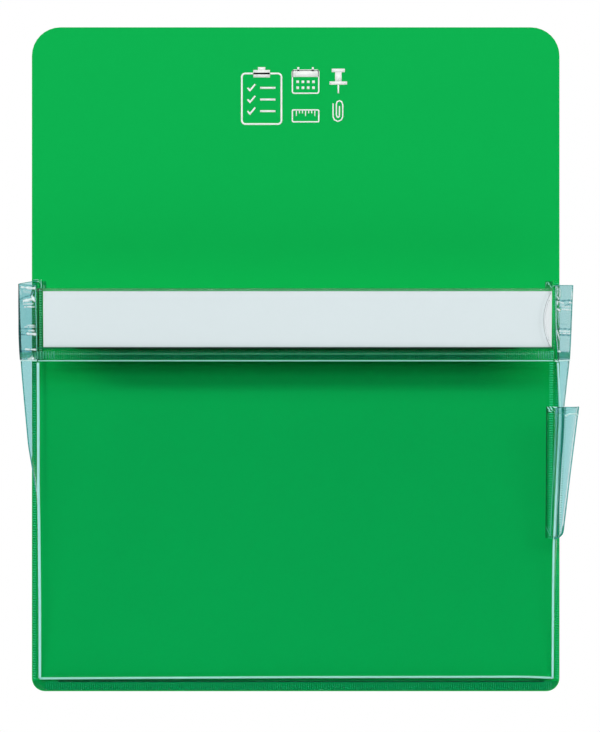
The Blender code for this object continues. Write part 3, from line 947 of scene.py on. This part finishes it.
# a painted shadow under the card, thinner towards both ends
x = np.linspace(-108, 106, 80)
radius = np.interp(np.abs(x), (86, 97, 108), (0.46, 0.36, 0.12))
add_bead(mesh, on_front(x, CARD_BOTTOM + 0.2, 1.15), radius, card_shadow_edge, sides=8)
s = np.linspace(CARD_BOTTOM + 0.6, CARD_TOP - 0.6, 40)
arc = on_front(cover_right(s), s, cover_level(s) + 0.1)
add_bead(mesh, arc, 0.10, notch_edge, sides=6)
# a painted sheen beside the notch's cut edge
add_bead(mesh, arc[arc[:, 0] < 113.6] + (0.8, 0, 0), 0.2, notch_light, sides=6)
crossing = [(116.7, HEM_BOTTOM + 0.15), (117.6, HEM_BOTTOM + 0.1), (118.3, HEM_BOTTOM)]
add_pucker(mesh, crossing, partial(on_front, n=0.85), 0.36, bright_edge)
sleeve = make_piece(mesh, "label_sleeve")
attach(sleeve, "front")
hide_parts("label_cover")
path = on_front((-115.5, 115.5), HEM_BOTTOM + 2.7, 0.68)
weld_ribs("sleeve_ribs", path, OUT, 4.0, "front", pitch=1.0)

# %% [markdown]
# ## Corner welds
# Where the front meets a gusset the two films are welded in a narrow ribbed strip. On the left
# it shows beside the sleeve. On the right it goes on down, because it also holds the pen pocket.

# %% Corner strips
PEN_TOP, PEN_BOTTOM = 126.6, 66.2
for side, word in SIDES:
    mesh = bmesh.new()
    s = np.linspace(1.0, HEM_BOTTOM - 0.2, 80)
    outer = np.abs(front_edge(side, s)) + 0.35
    x = side * stretches((outer - 0.9, outer, 4))[:, ::side]
    add_film(mesh, on_front(x, s[:, None], 0.35), weld_clear, 0.25)
    strip = make_piece(mesh, f"{word}_corner_strip")
    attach(strip, "front")
    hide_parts(f"{word}_corner_seam")

for name, low, high in (("left_hem_ribs", -116.2, -109.0), ("right_hem_ribs", 109.5, 116.2)):
    path = on_front(np.linspace(low, high, 12), HEM_BOTTOM + 2.9, 0.85)
    weld_ribs(name, path, OUT, 3.4, "front", finish=soft_rib_edge)
RIB_TOP = PANEL_LENGTH - 1.5
for name, x, low, high, length, finish in (
    ("left_corner_ribs", -114.9, HEM_BOTTOM, RIB_TOP, 1.2, soft_rib_edge),
    ("right_corner_ribs", 115.3, PEN_BOTTOM, HEM_BOTTOM + 4.5, 1.7, pale_rib_edge),
    ("right_sleeve_ribs", 116.3, HEM_BOTTOM + 6, RIB_TOP, 0.8, soft_rib_edge),
):
    s = np.linspace(low, high, 60)
    over_hem = np.where(s < HEM_BOTTOM, 0.62, cover_level(s) + 0.15)
    path = on_front(x, s, np.where(s < PEN_TOP, 1.65, over_hem))
    weld_ribs(name, path, OUT, length, "front", width=0.45, height=0.3, finish=finish)

# %% [markdown]
# ## Gussets
# Each gusset is one strip folded outward. The fold stands farthest out at the mouth, where the
# strip is doubled into a hem, and dies away lower down, where the film is pulled taut. The stiff
# hem is creased across in a few places. Two tables hold what is special to each side: how far
# the fold stands out at each height, and the creases of the hem.

# %% Tables of the gussets
FOLD_OUT = {
    -1: [(-146, 0), (-72, 0.0), (-62, 0.35), (-56, 1.2), (-47.6, 2.7), (-39.4, 4.15)]
    + [(-22, 5.75), (-8, 7.0), (0, 7.6), (10, 8.0), (25, 8.3), (36.5, 8.45)],
    1: [(-146, 0.0), (-110, 0.8), (-78, 1.6), (-54, 2.5), (-34.5, 4.0), (-21, 4.6)]
    + [(-8, 6.1), (0.6, 7.1), (13, 7.7), (22, 8.0), (36.5, 8.6)],
}
# Creases of the hem: points (share across, height), width, how much painted highlight, how much
# painted shade
CREASES = {
    -1: [
        ([(0.6, 32.7), (0.8, 32.2)], 0.25, 0.9, 0),
        ([(0.78, 32.2), (0.99, 31.9)], 0.42, 1.0, 0),
        ([(0.56, 31.5), (0.6, 29.5)], 0.5, 0.25, 0),
        ([(0.68, 30.8), (0.84, 30.2)], 0.7, 0.2, 0),
        ([(0.53, 26.9), (0.67, 28.0), (0.84, 28.7), (0.9, 30.1)], 0.28, 0, 0.85),
        ([(0.67, 26.3), (0.82, 26.7), (0.95, 27.3)], 0.55, 0.95, 0),
        ([(0.9, 28.2), (0.96, 26.4)], 0.45, 0.9, 0),
        ([(0.52, 26.3), (0.63, 26.0)], 0.15, 0, 0.6),
        ([(0.52, 25.5), (0.62, 25.3)], 0.15, 0, 0.4),
        ([(0.67, 24.9), (0.92, 25.0)], 0.3, 0.55, 0),
        ([(0.66, 24.2), (0.95, 24.2)], 0.2, 0, 0.5),
        ([(0.7, 23.6), (0.95, 23.6)], 0.25, 0.75, 0),
        ([(0.75, 15.3), (0.96, 15.2)], 0.22, 0.6, 0),
        ([(0.7, 14.6), (0.97, 14.5)], 0.2, 0.5, 0),
        ([(0.52, 13.8), (0.98, 13.7)], 0.25, 0, 0.8),
        ([(0.8, 12.9), (0.93, 12.8)], 0.3, 0.6, 0),
        ([(0.52, 12.4), (0.8, 12.2), (0.97, 12.0)], 0.2, 0, 0.6),
        ([(0.76, 11.5), (0.98, 11.2)], 0.42, 0.95, 0),
        ([(0.52, 11.3), (0.78, 10.9)], 0.25, 0, 0.9),
        ([(0.68, 4.5), (0.97, 4.3)], 0.25, 0.9, 0),
        ([(0.52, 3.9), (0.95, 3.85)], 0.22, 0, 0.85),
        ([(0.52, 2.4), (0.95, 2.4)], 1.3, 0, 0.85),
        ([(0.76, 0.2), (0.93, 0.5)], 0.45, 0.9, 0),
        ([(0.85, 1.4), (0.9, 0.2)], 0.4, 0.8, 0),
    ],
    1: [
        ([(0.955, 32.6), (0.94, 30.3), (0.97, 28.5), (0.925, 27.2)], 0.22, 0.65, 0),
        ([(0.91, 31.8), (0.9, 28.0)], 0.32, 0.25, 0),
        ([(0.88, 31.2), (0.88, 27.8)], 0.15, 0.5, 0),
        ([(0.545, 32.4), (0.545, 26.9)], 0.22, 0.8, 0),
        ([(0.985, 27.0), (0.92, 26.5), (0.8, 26.2), (0.68, 26.6), (0.53, 26.65)], 0.34, 0, 1.1),
        ([(0.62, 25.6), (0.53, 25.4)], 0.25, 0.9, 0),
        ([(0.74, 24.3), (0.65, 24.6), (0.55, 25.0)], 0.38, 0, 0.75),
        ([(0.92, 25.9), (0.8, 25.3)], 0.35, 0.5, 0),
        ([(0.955, 25.8), (0.95, 24.9)], 0.35, 0.8, 0),
        ([(0.83, 23.8), (0.58, 23.7)], 0.3, 0.4, 0),
        ([(0.93, 23.4), (0.8, 23.2)], 0.2, 0, 0.5),
        ([(0.96, 22.6), (0.89, 22.0)], 0.38, 0.8, 0),
        ([(0.83, 22.5), (0.57, 22.3)], 0.35, 0.5, 0),
        ([(0.93, 21.5), (0.93, 14.5)], 0.18, 0, 0.6),
        ([(0.83, 15.9), (0.68, 15.8)], 0.15, 0, 0.35),
        ([(0.92, 13.7), (0.53, 13.6)], 0.3, 0, 1.0),
        ([(0.97, 12.8), (0.93, 10.5), (0.91, 9.0)], 0.28, 0.75, 0),
        ([(0.89, 12.7), (0.58, 12.6)], 0.3, 0.55, 0),
        ([(0.88, 11.7), (0.56, 11.6)], 0.18, 0.7, 0),
        ([(0.88, 11.0), (0.55, 10.9)], 0.36, 0, 1.0),
        ([(0.955, 3.5), (0.89, 3.3)], 0.3, 0.8, 0),
        ([(0.89, 3.1), (0.62, 3.0)], 0.25, 0, 0.7),
        ([(0.93, 1.6), (0.51, 1.6)], 1.5, 0, 1.3),
        ([(0.56, -1.0), (0.56, -21.0)], 0.25, 0.55, 0),
    ],
}
print("creases, left and right:", [len(CREASES[side]) for side, _ in SIDES])

# %% [markdown]
# A grid follows these tables: across it goes from the side weld to the fold and on to the
# front's edge. A crease is a small ridge in the grid, with marks for its painted highlight and
# painted shade, and a thin painted shadow along the lower side of each highlight.

# %% Gusset shape
FOLD_SHARE = 0.5
BEND = 0.035
GUSSET_COLUMNS = stretches((0.0, 0.42, 10), (0.45, 0.55, 9), (0.565, 1.0, 34))
TOPS = {-1: (35.7, 34.0, 33.2), 1: (33.5, 33.4, 33.2)}


def gusset_top(side, u):
    """Height of the gusset's top edge at the sheet, at the fold and at the front."""
    return np.interp(u, (0, FOLD_SHARE, 1), TOPS[side])


def hem_low(u):
    """Height of the hem's lower edge."""
    return np.interp(u, (0, 1), (-0.2, -0.7))


def gusset_points(side, u, z, lift=0.0):
    """Points of the gusset: u goes from the side weld (0) by the fold to the front edge (1)."""
    u, z, lift = np.broadcast_arrays(u, z, lift)
    s = (z - HINGE[2]) / math.cos(LEAN)
    edge = front_edge(side, np.clip(s, 0.0, PANEL_LENGTH))
    fold = side * (117.0 + smooth_table(FOLD_OUT[side], z))
    back = np.array((side * 117.3, -(SEAM_LEVEL + 0.25)))
    front = np.stack((edge, on_front(0, s)[..., 1] - 0.1), axis=-1)
    middle = np.stack((fold, (back[1] + front[..., 1]) / 2), axis=-1)

    def straight(v):
        first = np.clip(v / FOLD_SHARE, 0, 1)[..., None]
        then = np.clip((v - FOLD_SHARE) / (1 - FOLD_SHARE), 0, 1)[..., None]
        return back + (middle - back) * first + (front - middle) * then

    spot = sum(straight(u + BEND * k / 3) for k in range(-3, 4)) / 7
    step = straight(u + 0.02) - straight(u - 0.02)
    outward = np.stack((-step[..., 1], step[..., 0]), axis=-1) * side
    outward = np.where(outward[..., :1] * side < 0, -outward, outward)
    outward /= np.maximum(np.linalg.norm(outward, axis=-1, keepdims=True), 1e-9)
    bow = 0.35 * np.sin(2 * math.pi * u) ** 2
    spot = spot + outward * (bow + lift)[..., None]
    return np.stack((spot[..., 0], spot[..., 1], z), axis=-1)


def crease_marks(side, u, z):
    """Height of the creases over a grid, and their painted highlight and painted shade."""
    span = np.array((32.0, 1.0))
    spots = np.stack((u, z), axis=-1) * span
    wobble = 0.10 * np.sin(1.1 * spots[..., 0] + 0.8 * z) + 0.05 * np.sin(2.6 * spots[..., 0] - z)
    height, haze_and_highlight, dark = np.zeros((3, *u.shape))
    for points, width, highlight, shade in CREASES[side]:
        line = np.array(points) * span
        gap = np.full(u.shape, 1e3)
        for start, end in zip(line, line[1:]):
            leg = end - start
            along = np.clip((spots - start) @ leg / (leg @ leg), 0, 1)[..., None]
            gap = np.minimum(gap, np.linalg.norm(spots - start - along * leg, axis=-1))
        ridge = np.exp(-(np.abs((gap + wobble) / width) ** 2.6))
        shadow_side = np.exp(-(((gap + wobble - 1.25 * width) / 0.16) ** 2)) * (z < line[:, 1].mean())
        height += 0.3 * (highlight - shade) * ridge
        haze_and_highlight += highlight * ridge
        dark += shade * ridge + 0.3 * highlight * shadow_side
    return height, np.minimum(haze_and_highlight, 1), np.minimum(dark, 1)


def gusset_grid(side, low, high, count, lift):
    """Points and marks of one layer, from its lower edge to its upper one."""
    u = GUSSET_COLUMNS[::-side]
    z = low(u) + (high(u) - low(u)) * np.linspace(0, 1, count)[:, None]
    height, haze_and_highlight, dark = crease_marks(side, np.broadcast_to(u, z.shape), z)
    points = gusset_points(side, u, z, lift + height)
    over_sheet = (np.abs(points[..., 0]) < SHEET_HALF_WIDTH - 0.8) & (z < 0)
    return points, film_marks(0.85 * over_sheet, haze_and_highlight, dark)


print("columns of a gusset:", len(GUSSET_COLUMNS))

# %% [markdown]
# A gusset is two layers, the strip and its hem, with beads on its edges and its fold.

# %% Gussets
for side, word in SIDES:
    mesh = bmesh.new()
    hem_high = partial(gusset_top, side)
    hem_clear = left_hem if side < 0 else right_hem
    for low, high, count, lift, finish, thickness in (
        (lambda u: SEAM_BOTTOM + 1.5, hem_low, 170, 0.0, gusset_clear, FILM),
        (hem_low, hem_high, 160, 0.2, hem_clear, 0.4),
    ):
        points, marks = gusset_grid(side, low, high, count, lift)
        add_film(mesh, points, finish, thickness, marks)
    u = np.linspace(0.02, 0.99, 50)
    for z, lift, radius, finish in (
        (hem_low(u), 0.45, 0.30, bright_edge),
        (hem_high(u), 0.25, 0.16, outline_edge),
    ):
        add_bead(mesh, gusset_points(side, u, z, lift), radius, finish, sides=8)
    # the left fold is squeezed tighter low down
    rise = np.linspace(-0.4, hem_high(FOLD_SHARE), 60)
    squeezed = np.interp(rise, (0, 4, 13, 18, 25, 33), (0.5, 0.62, 0.62, 0.5, 0.4, 0.27))
    hem_outline = (squeezed, dark_edge) if side < 0 else (0.32, outline_edge)
    for u, z, lift, radius, finish in (
        (FOLD_SHARE, rise, 0.2, *hem_outline),
        (FOLD_SHARE, np.linspace(-60, -0.9, 60), 0.1, 0.28, outline_edge),
        (0.99, np.linspace(0.5, 32.6, 60), 0.0, 0.14, rib_edge),
    ):
        add_bead(mesh, gusset_points(side, u, z, lift), radius, finish, sides=6)
    gusset = make_piece(mesh, f"{word}_gusset")
    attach(gusset, "backing")
    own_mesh(gusset)
    path = gusset_points(side, np.linspace(0.97, 0.55, 30), 1.7, 0.55)
    ribs = weld_ribs(f"{word}_gusset_ribs", path, FORWARD, 2.8, "backing", finish=soft_rib_edge)
    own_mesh(ribs)
    wings = [f"{word}_{part}" for part in ("back_wing", "back_hem", "front_wing", "front_hem")]
    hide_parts(*wings)

# %% [markdown]
# ## Pen pocket
# A narrow sleeve of two films on the right corner weld. The back film is flat. The front one
# bulges towards its open top, so that a pen goes in, and is welded to the back along the outer
# edge and the rounded lower end. A band along the top is doubled, like a small hem.

# %% Pen pocket shape
PEN_REACH = [(66.2, 4.3), (96, 7.6), (126.6, 11.2)]
PEN_INNER = 113.1
PEN_FOOT = 3.4
PEN_LEVEL = 1.95
ROOT_LEVEL = 1.4
# How dark the root is, from its inner edge to the corner weld
ROOT_SHADE = [(113.2, 0.75), (113.5, 0.65), (113.9, 0.42), (115.3, 0.42), (115.6, 0.1)]
ROOT_SHADE += [(115.8, 0.1), (116.1, 0.28), (116.6, 0.22), (116.8, 0.0), (117.9, 0.0)]
ROOT_SHADE += [(118.3, 0.3), (119.2, 0.2), (119.9, 0.0)]
ROOT_CLOUD = [(116.7, 0.0), (116.9, 0.04), (117.9, 0.03), (118.3, 0.0)]


def pen_outer(s):
    """Where the pocket ends on the right, rounded at its foot."""
    return 116.7 + read_table(PEN_REACH, s) - corner_inset(s - PEN_BOTTOM, PEN_FOOT)


def pen_stand(s, share):
    """How far the front film stands off the back one."""
    opening = np.maximum(0.0, (s - PEN_BOTTOM - 3.0) / (PEN_TOP - PEN_BOTTOM - 3.0))
    return 8.2 * np.sin(opening * math.pi / 2) * np.sin(math.pi * share) ** 0.9


foot = PEN_BOTTOM + np.linspace(0, 1, 9) ** 1.6 * PEN_FOOT
above = stretches((PEN_BOTTOM + PEN_FOOT + 1, PEN_TOP - 3.2, 40), (PEN_TOP - 2.9, PEN_TOP, 9))
heights = np.append(foot, above)
root, outer = front_edge(1, heights), pen_outer(heights)
print("pen pocket reaches, mm:", round(outer[0], 1), "to", round(outer[-1], 1))

# %% [markdown]
# Both films share one grid of places. The front film steps up from the corner weld over its
# first millimetres and then bulges, and the doubled band lies a little further out.

# %% Pen pocket films
s, rim = heights[:, None], outer[:, None]
share = np.linspace(0, 1, 64)
x = PEN_INNER + share * (rim - PEN_INNER)
stand = pen_stand(s, np.clip((share - 0.34) / 0.62, 0, 1))
step = (PEN_LEVEL + 0.45 - ROOT_LEVEL) * soft_step((share - 0.24) / 0.16)
level = ROOT_LEVEL + step + stand
raised = s + 0.9 * stand * math.tan(LEAN)
plain = 1 - np.clip(x - 119.2, 0, 1)
# a painted highlight just inside the outline, and a faint haze at the root
haze_and_highlight = read_table(ROOT_CLOUD, x) + 0.6 * np.exp(-(((rim - x - 0.95) / 0.28) ** 2))
dark = read_table(ROOT_SHADE, x)
ends = (rim - x) / 0.9, (x - root[:, None] - 2.4) / 0.8
sink = sum(0.9 * np.exp(-(end**2)) for end in ends) * (s < PEN_TOP - 2.4)
hem = heights > PEN_TOP - 3.0
front_rows = on_front(x, raised, level)
hem_rows = on_front(x, raised - sink, level + 0.4)[hem]

mesh = bmesh.new()
add_film(mesh, on_front(117.2 + share * (rim - 117.2), s, PEN_LEVEL), pen_back_clear)
pen_back = make_piece(mesh, "pen_sleeve_back")
mesh = bmesh.new()
add_film(mesh, front_rows, pen_clear, FILM, film_marks(plain, haze_and_highlight, dark))
add_film(mesh, hem_rows, pen_hem_clear, 0.25, film_marks(plain=plain[hem], dark=dark[hem]))
print("rows of the doubled band:", len(hem_rows))

# %% [markdown]
# Beads go on the open edge, the outline, the foot and down the root, and a few puckers sit where
# the two ends of the root are squeezed into the corner weld.

# %% Pen pocket edges
for row, radius, finish in ((front_rows[-1], 0.2, outline_edge), (hem_rows[0], 0.34, bright_edge)):
    add_bead(mesh, row[row[:, 0] > root[-1] + 1.9], radius, finish, sides=6)
outline = on_front(outer - 0.35, heights, PEN_LEVEL + 0.25)
add_bead(mesh, outline, 0.26, outline_edge, sides=8)
foot = on_front(outer - 0.6, heights, PEN_LEVEL + 0.5)[:11]
add_bead(mesh, foot, 0.40, foot_edge, sides=8)
tip = [(127.3, 126.3), (127.2, 125.0), (126.8, 124.0)]
add_pucker(mesh, tip, partial(on_front, n=3), 0.4, outline_edge)
s, weld = heights[4:], root[4:]
add_bead(mesh, on_front(PEN_INNER + 0.15, s, 1.5), 0.14, line_edge, sides=6)
for away, level, radius, finish in (
    (-1.8, 1.9, 0.2, root_edge),
    (0, 2.75, 0.54, fold_edge),
    (1.25, 2.8, 0.36, groove_edge),
):
    add_bead(mesh, on_front(weld + away, s, level), radius, finish, sides=8)
for knots, radius, finish in (
    ([(113.6, 126.7), (113.9, 126.0), (114.6, 125.3), (114.7, 124.4)], 0.24, fold_edge),
    ([(114.6, 127.0), (115.3, 126.2), (115.5, 125.4), (116.3, 124.9)], 0.26, fold_edge),
    ([(113.8, 124.9), (114.8, 124.5), (115.7, 124.2)], 0.16, fold_edge),
    ([(116.0, 126.7), (117.1, 126.3), (118.2, 126.5)], 0.26, fold_edge),
    ([(113.2, 71.4), (114.1, 69.8), (115.0, 67.8), (116.0, 66.8)], 0.14, root_edge),
    ([(114.2, 71.6), (115.0, 70.4), (115.4, 69.0)], 0.12, root_edge),
):
    add_pucker(mesh, knots, partial(on_front, n=2.25), radius, finish)
pen_front = make_piece(mesh, "pen_sleeve_front")
path = on_front(root + 2.3, heights, 3.3)[6:-4]
weld_ribs("pen_root_ribs", path, OUT, 0.9, "front", height=0.3)
for piece, node in ((pen_back, "pen_pocket_back"), (pen_front, "pen_pocket_front")):
    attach(piece, "front")
    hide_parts(node)

# %% [markdown]
# ## The print
# White office pictograms near the top: a large clipboard with ticked lines, and beside it a
# calendar, a push pin, a ruler and a paper clip in two rows. Each is drawn with flat strokes of
# ink, a few hundredths of a millimetre thick, so its edges stay crisp at any distance.

# %% Print helpers
INK = 0.05
LINE = 0.6


def stroke(mesh, points, width=LINE, closed=False):
    """A flat line of ink through points (x, z), mitred at its corners."""
    points = np.array(points, float)
    if closed:
        points = np.vstack((points, points[:1]))
    legs = np.diff(points, axis=0)
    legs /= np.linalg.norm(legs, axis=1, keepdims=True)
    rows = [[], []]
    for k, point in enumerate(points):
        before = legs[k - 1] if k else (legs[-1] if closed else legs[0])
        after = legs[k] if k < len(legs) else (legs[0] if closed else legs[-1])
        normal = np.array((-before[1] - after[1], before[0] + after[0]))
        normal /= np.linalg.norm(normal)
        normal /= max(0.4, normal @ (-before[1], before[0]))
        for row, sign in zip(rows, (-1, 1)):
            spot = point + normal * sign * width / 2
            row.append((spot[0], -(SHEET_FRONT + INK), spot[1]))
    add_film(mesh, rows, print_ink, INK)


def round_box(x0, z0, x1, z1, radius):
    """Corner points of a box with rounded corners."""
    spots = []
    for cx, cz, start in (
        (x1 - radius, z1 - radius, 0),
        (x0 + radius, z1 - radius, 90),
        (x0 + radius, z0 + radius, 180),
        (x1 - radius, z0 + radius, 270),
    ):
        for a in np.radians(np.linspace(start, start + 90, 6)):
            spots.append((cx + radius * math.cos(a), cz + radius * math.sin(a)))
    return spots


def slab(mesh, x0, z0, x1, z1):
    """A filled box of ink."""
    stroke(mesh, [(x0, (z0 + z1) / 2), (x1, (z0 + z1) / 2)], z1 - z0)


print("ink stands off the sheet by, mm:", INK)

# %% [markdown]
# An image texture would blur close up and an outline from a font would need its file. With
# strokes and slabs each pictogram takes a few lines. Places are x and z on the sheet.

# %% Print
mesh = bmesh.new()
# clipboard
stroke(mesh, round_box(-24.5, 107.0, -6.5, 130.0, 1.6), 0.8, closed=True)
slab(mesh, -19.3, 128.2, -11.7, 131.6)
slab(mesh, -17.2, 131.6, -13.8, 132.9)
for z in (123.5, 118.2, 112.9):
    stroke(mesh, [(-21.9, z), (-20.8, z - 1.3), (-18.4, z + 1.6)], 0.75)
    slab(mesh, -16.2, z - 0.5, -9.2, z + 0.4)
# calendar
stroke(mesh, round_box(-1.5, 121.0, 10.5, 131.5, 0.9), LINE, closed=True)
slab(mesh, -1.5, 128.4, 10.5, 131.5)
for x in (1.2, 7.8):
    slab(mesh, x - 0.45, 131.0, x + 0.45, 132.9)
for z in (126.2, 123.5):
    for x in (0.9, 3.3, 5.7, 8.1):
        slab(mesh, x - 0.6, z - 0.6, x + 0.6, z + 0.6)
# push pin
slab(mesh, 16.4, 130.6, 22.4, 132.2)
slab(mesh, 17.9, 126.4, 20.9, 130.6)
slab(mesh, 15.4, 124.9, 23.4, 126.4)
stroke(mesh, [(19.4, 125.0), (19.4, 121.0)], 0.7)
# ruler
stroke(mesh, round_box(-1.5, 108.0, 10.5, 113.4, 0.5), LINE, closed=True)
for k, x in enumerate(np.linspace(0.3, 8.7, 7)):
    stroke(mesh, [(x, 113.2), (x, 110.6 if k % 3 == 0 else 111.8)], 0.45)
# paper clip
loop = [(17.0, 116.4), (17.0, 110.4), (17.6, 108.9), (19.2, 108.2), (20.8, 108.9), (21.4, 110.4)]
loop += [(21.4, 115.8), (20.9, 117.2), (19.9, 117.6), (18.9, 117.2), (18.5, 116.0), (18.5, 111.2)]
loop += [(18.8, 110.3), (19.3, 110.0), (19.8, 110.4), (19.9, 111.2), (19.9, 115.2)]
stroke(mesh, loop, 0.55)
pictograms = make_piece(mesh, "pictogram_print")
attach(pictograms, "backing")

# %% [markdown]
# ## Room, light and camera
# The camera stands straight in front, three metres away, with a long lens, which keeps the
# sheet's edges parallel as they are in a product photograph. The floor is pale and lies well
# below, because the pocket hangs on a wall of steel that isn't shown.

# %% Floor and lights
bpy.ops.mesh.primitive_circle_add(vertices=96, radius=2.0, fill_type="NGON", location=(0, 0, -1.2))
floor = bpy.context.object
floor.name = "studio_floor"
pale_floor = opaque("pale_floor", (0.86, 0.86, 0.86), 0.7, 60.0, 0.03, 0.1, 0.0002)
floor.data.materials.append(pale_floor)
floor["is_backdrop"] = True

scene = bpy.context.scene
light = bpy.data.lights.new("key_softbox", "AREA")
light.shape = "RECTANGLE"
light.size, light.size_y = 4.2, 0.50
light.energy = 65.0
lamp = bpy.data.objects.new("key_softbox", light)
lamp.location = (0.0, -2.2, 0.98)
lamp.rotation_euler = (-lamp.location).to_track_quat("-Z", "Y").to_euler()
scene.collection.objects.link(lamp)

world = bpy.data.worlds.new("studio")
scene.world = world
world.use_nodes = True
tree = world.node_tree
tree.nodes.clear()
toward = add_node(
    tree,
    "ShaderNodeSeparateXYZ",
    Vector=add_node(tree, "ShaderNodeTexCoord").outputs["Generated"],
)
brightness = add_node(
    tree,
    "ShaderNodeMapRange",
    Value=toward.outputs["Y"],
    interpolation_type="SMOOTHSTEP",
    From_Min=-0.55,
    From_Max=-0.20,
    To_Min=0.02,
    To_Max=0.95,
)
sky = add_node(
    tree, "ShaderNodeBackground", Color=(1, 1, 1, 1), Strength=brightness.outputs["Result"]
)
seen = add_node(tree, "ShaderNodeBackground", Color=(1, 1, 1, 1), Strength=1.0)
rays = add_node(tree, "ShaderNodeLightPath").outputs
direct = maths(tree, "MAXIMUM", rays["Is Camera Ray"], rays["Is Transmission Ray"])
pick = mix_shader(tree, direct, sky, seen)
add_node(tree, "ShaderNodeOutputWorld", Surface=pick.outputs[0])

print("light, W:", light.energy, "world:", world.name)

# %% [markdown]
# The lens is worked out rather than guessed: the frame's height has to show 732 pixels of
# 0.4551 mm at the distance of the sheet, and similar triangles give the length for that.

# %% Camera
PIXELS_HIGH = 732
MM_PER_PIXEL = 0.4551
SENSOR = 36.0
DISTANCE = 3.0
camera_data = bpy.data.cameras.new("photo_camera")
camera_data.sensor_width = SENSOR
camera_data.lens = SENSOR * DISTANCE / (PIXELS_HIGH * MM_PER_PIXEL * MM)
camera_data.clip_end = 50
camera = bpy.data.objects.new("photo_camera", camera_data)
camera.location = (1.96 * MM, -DISTANCE, -3.07 * MM)
camera.rotation_euler = (math.radians(90), 0, 0)
scene.collection.objects.link(camera)
scene.camera = camera
scene.view_settings.view_transform = "Standard"
print("lens, mm:", round(camera_data.lens, 1))

# %% [markdown]
# The box of the dressed object is printed in millimetres.

# %% Sizes
bpy.context.view_layer.update()
low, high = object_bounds()
print("visual box, mm:", [round((h - l) * 1000, 1) for l, h in zip(low, high)])
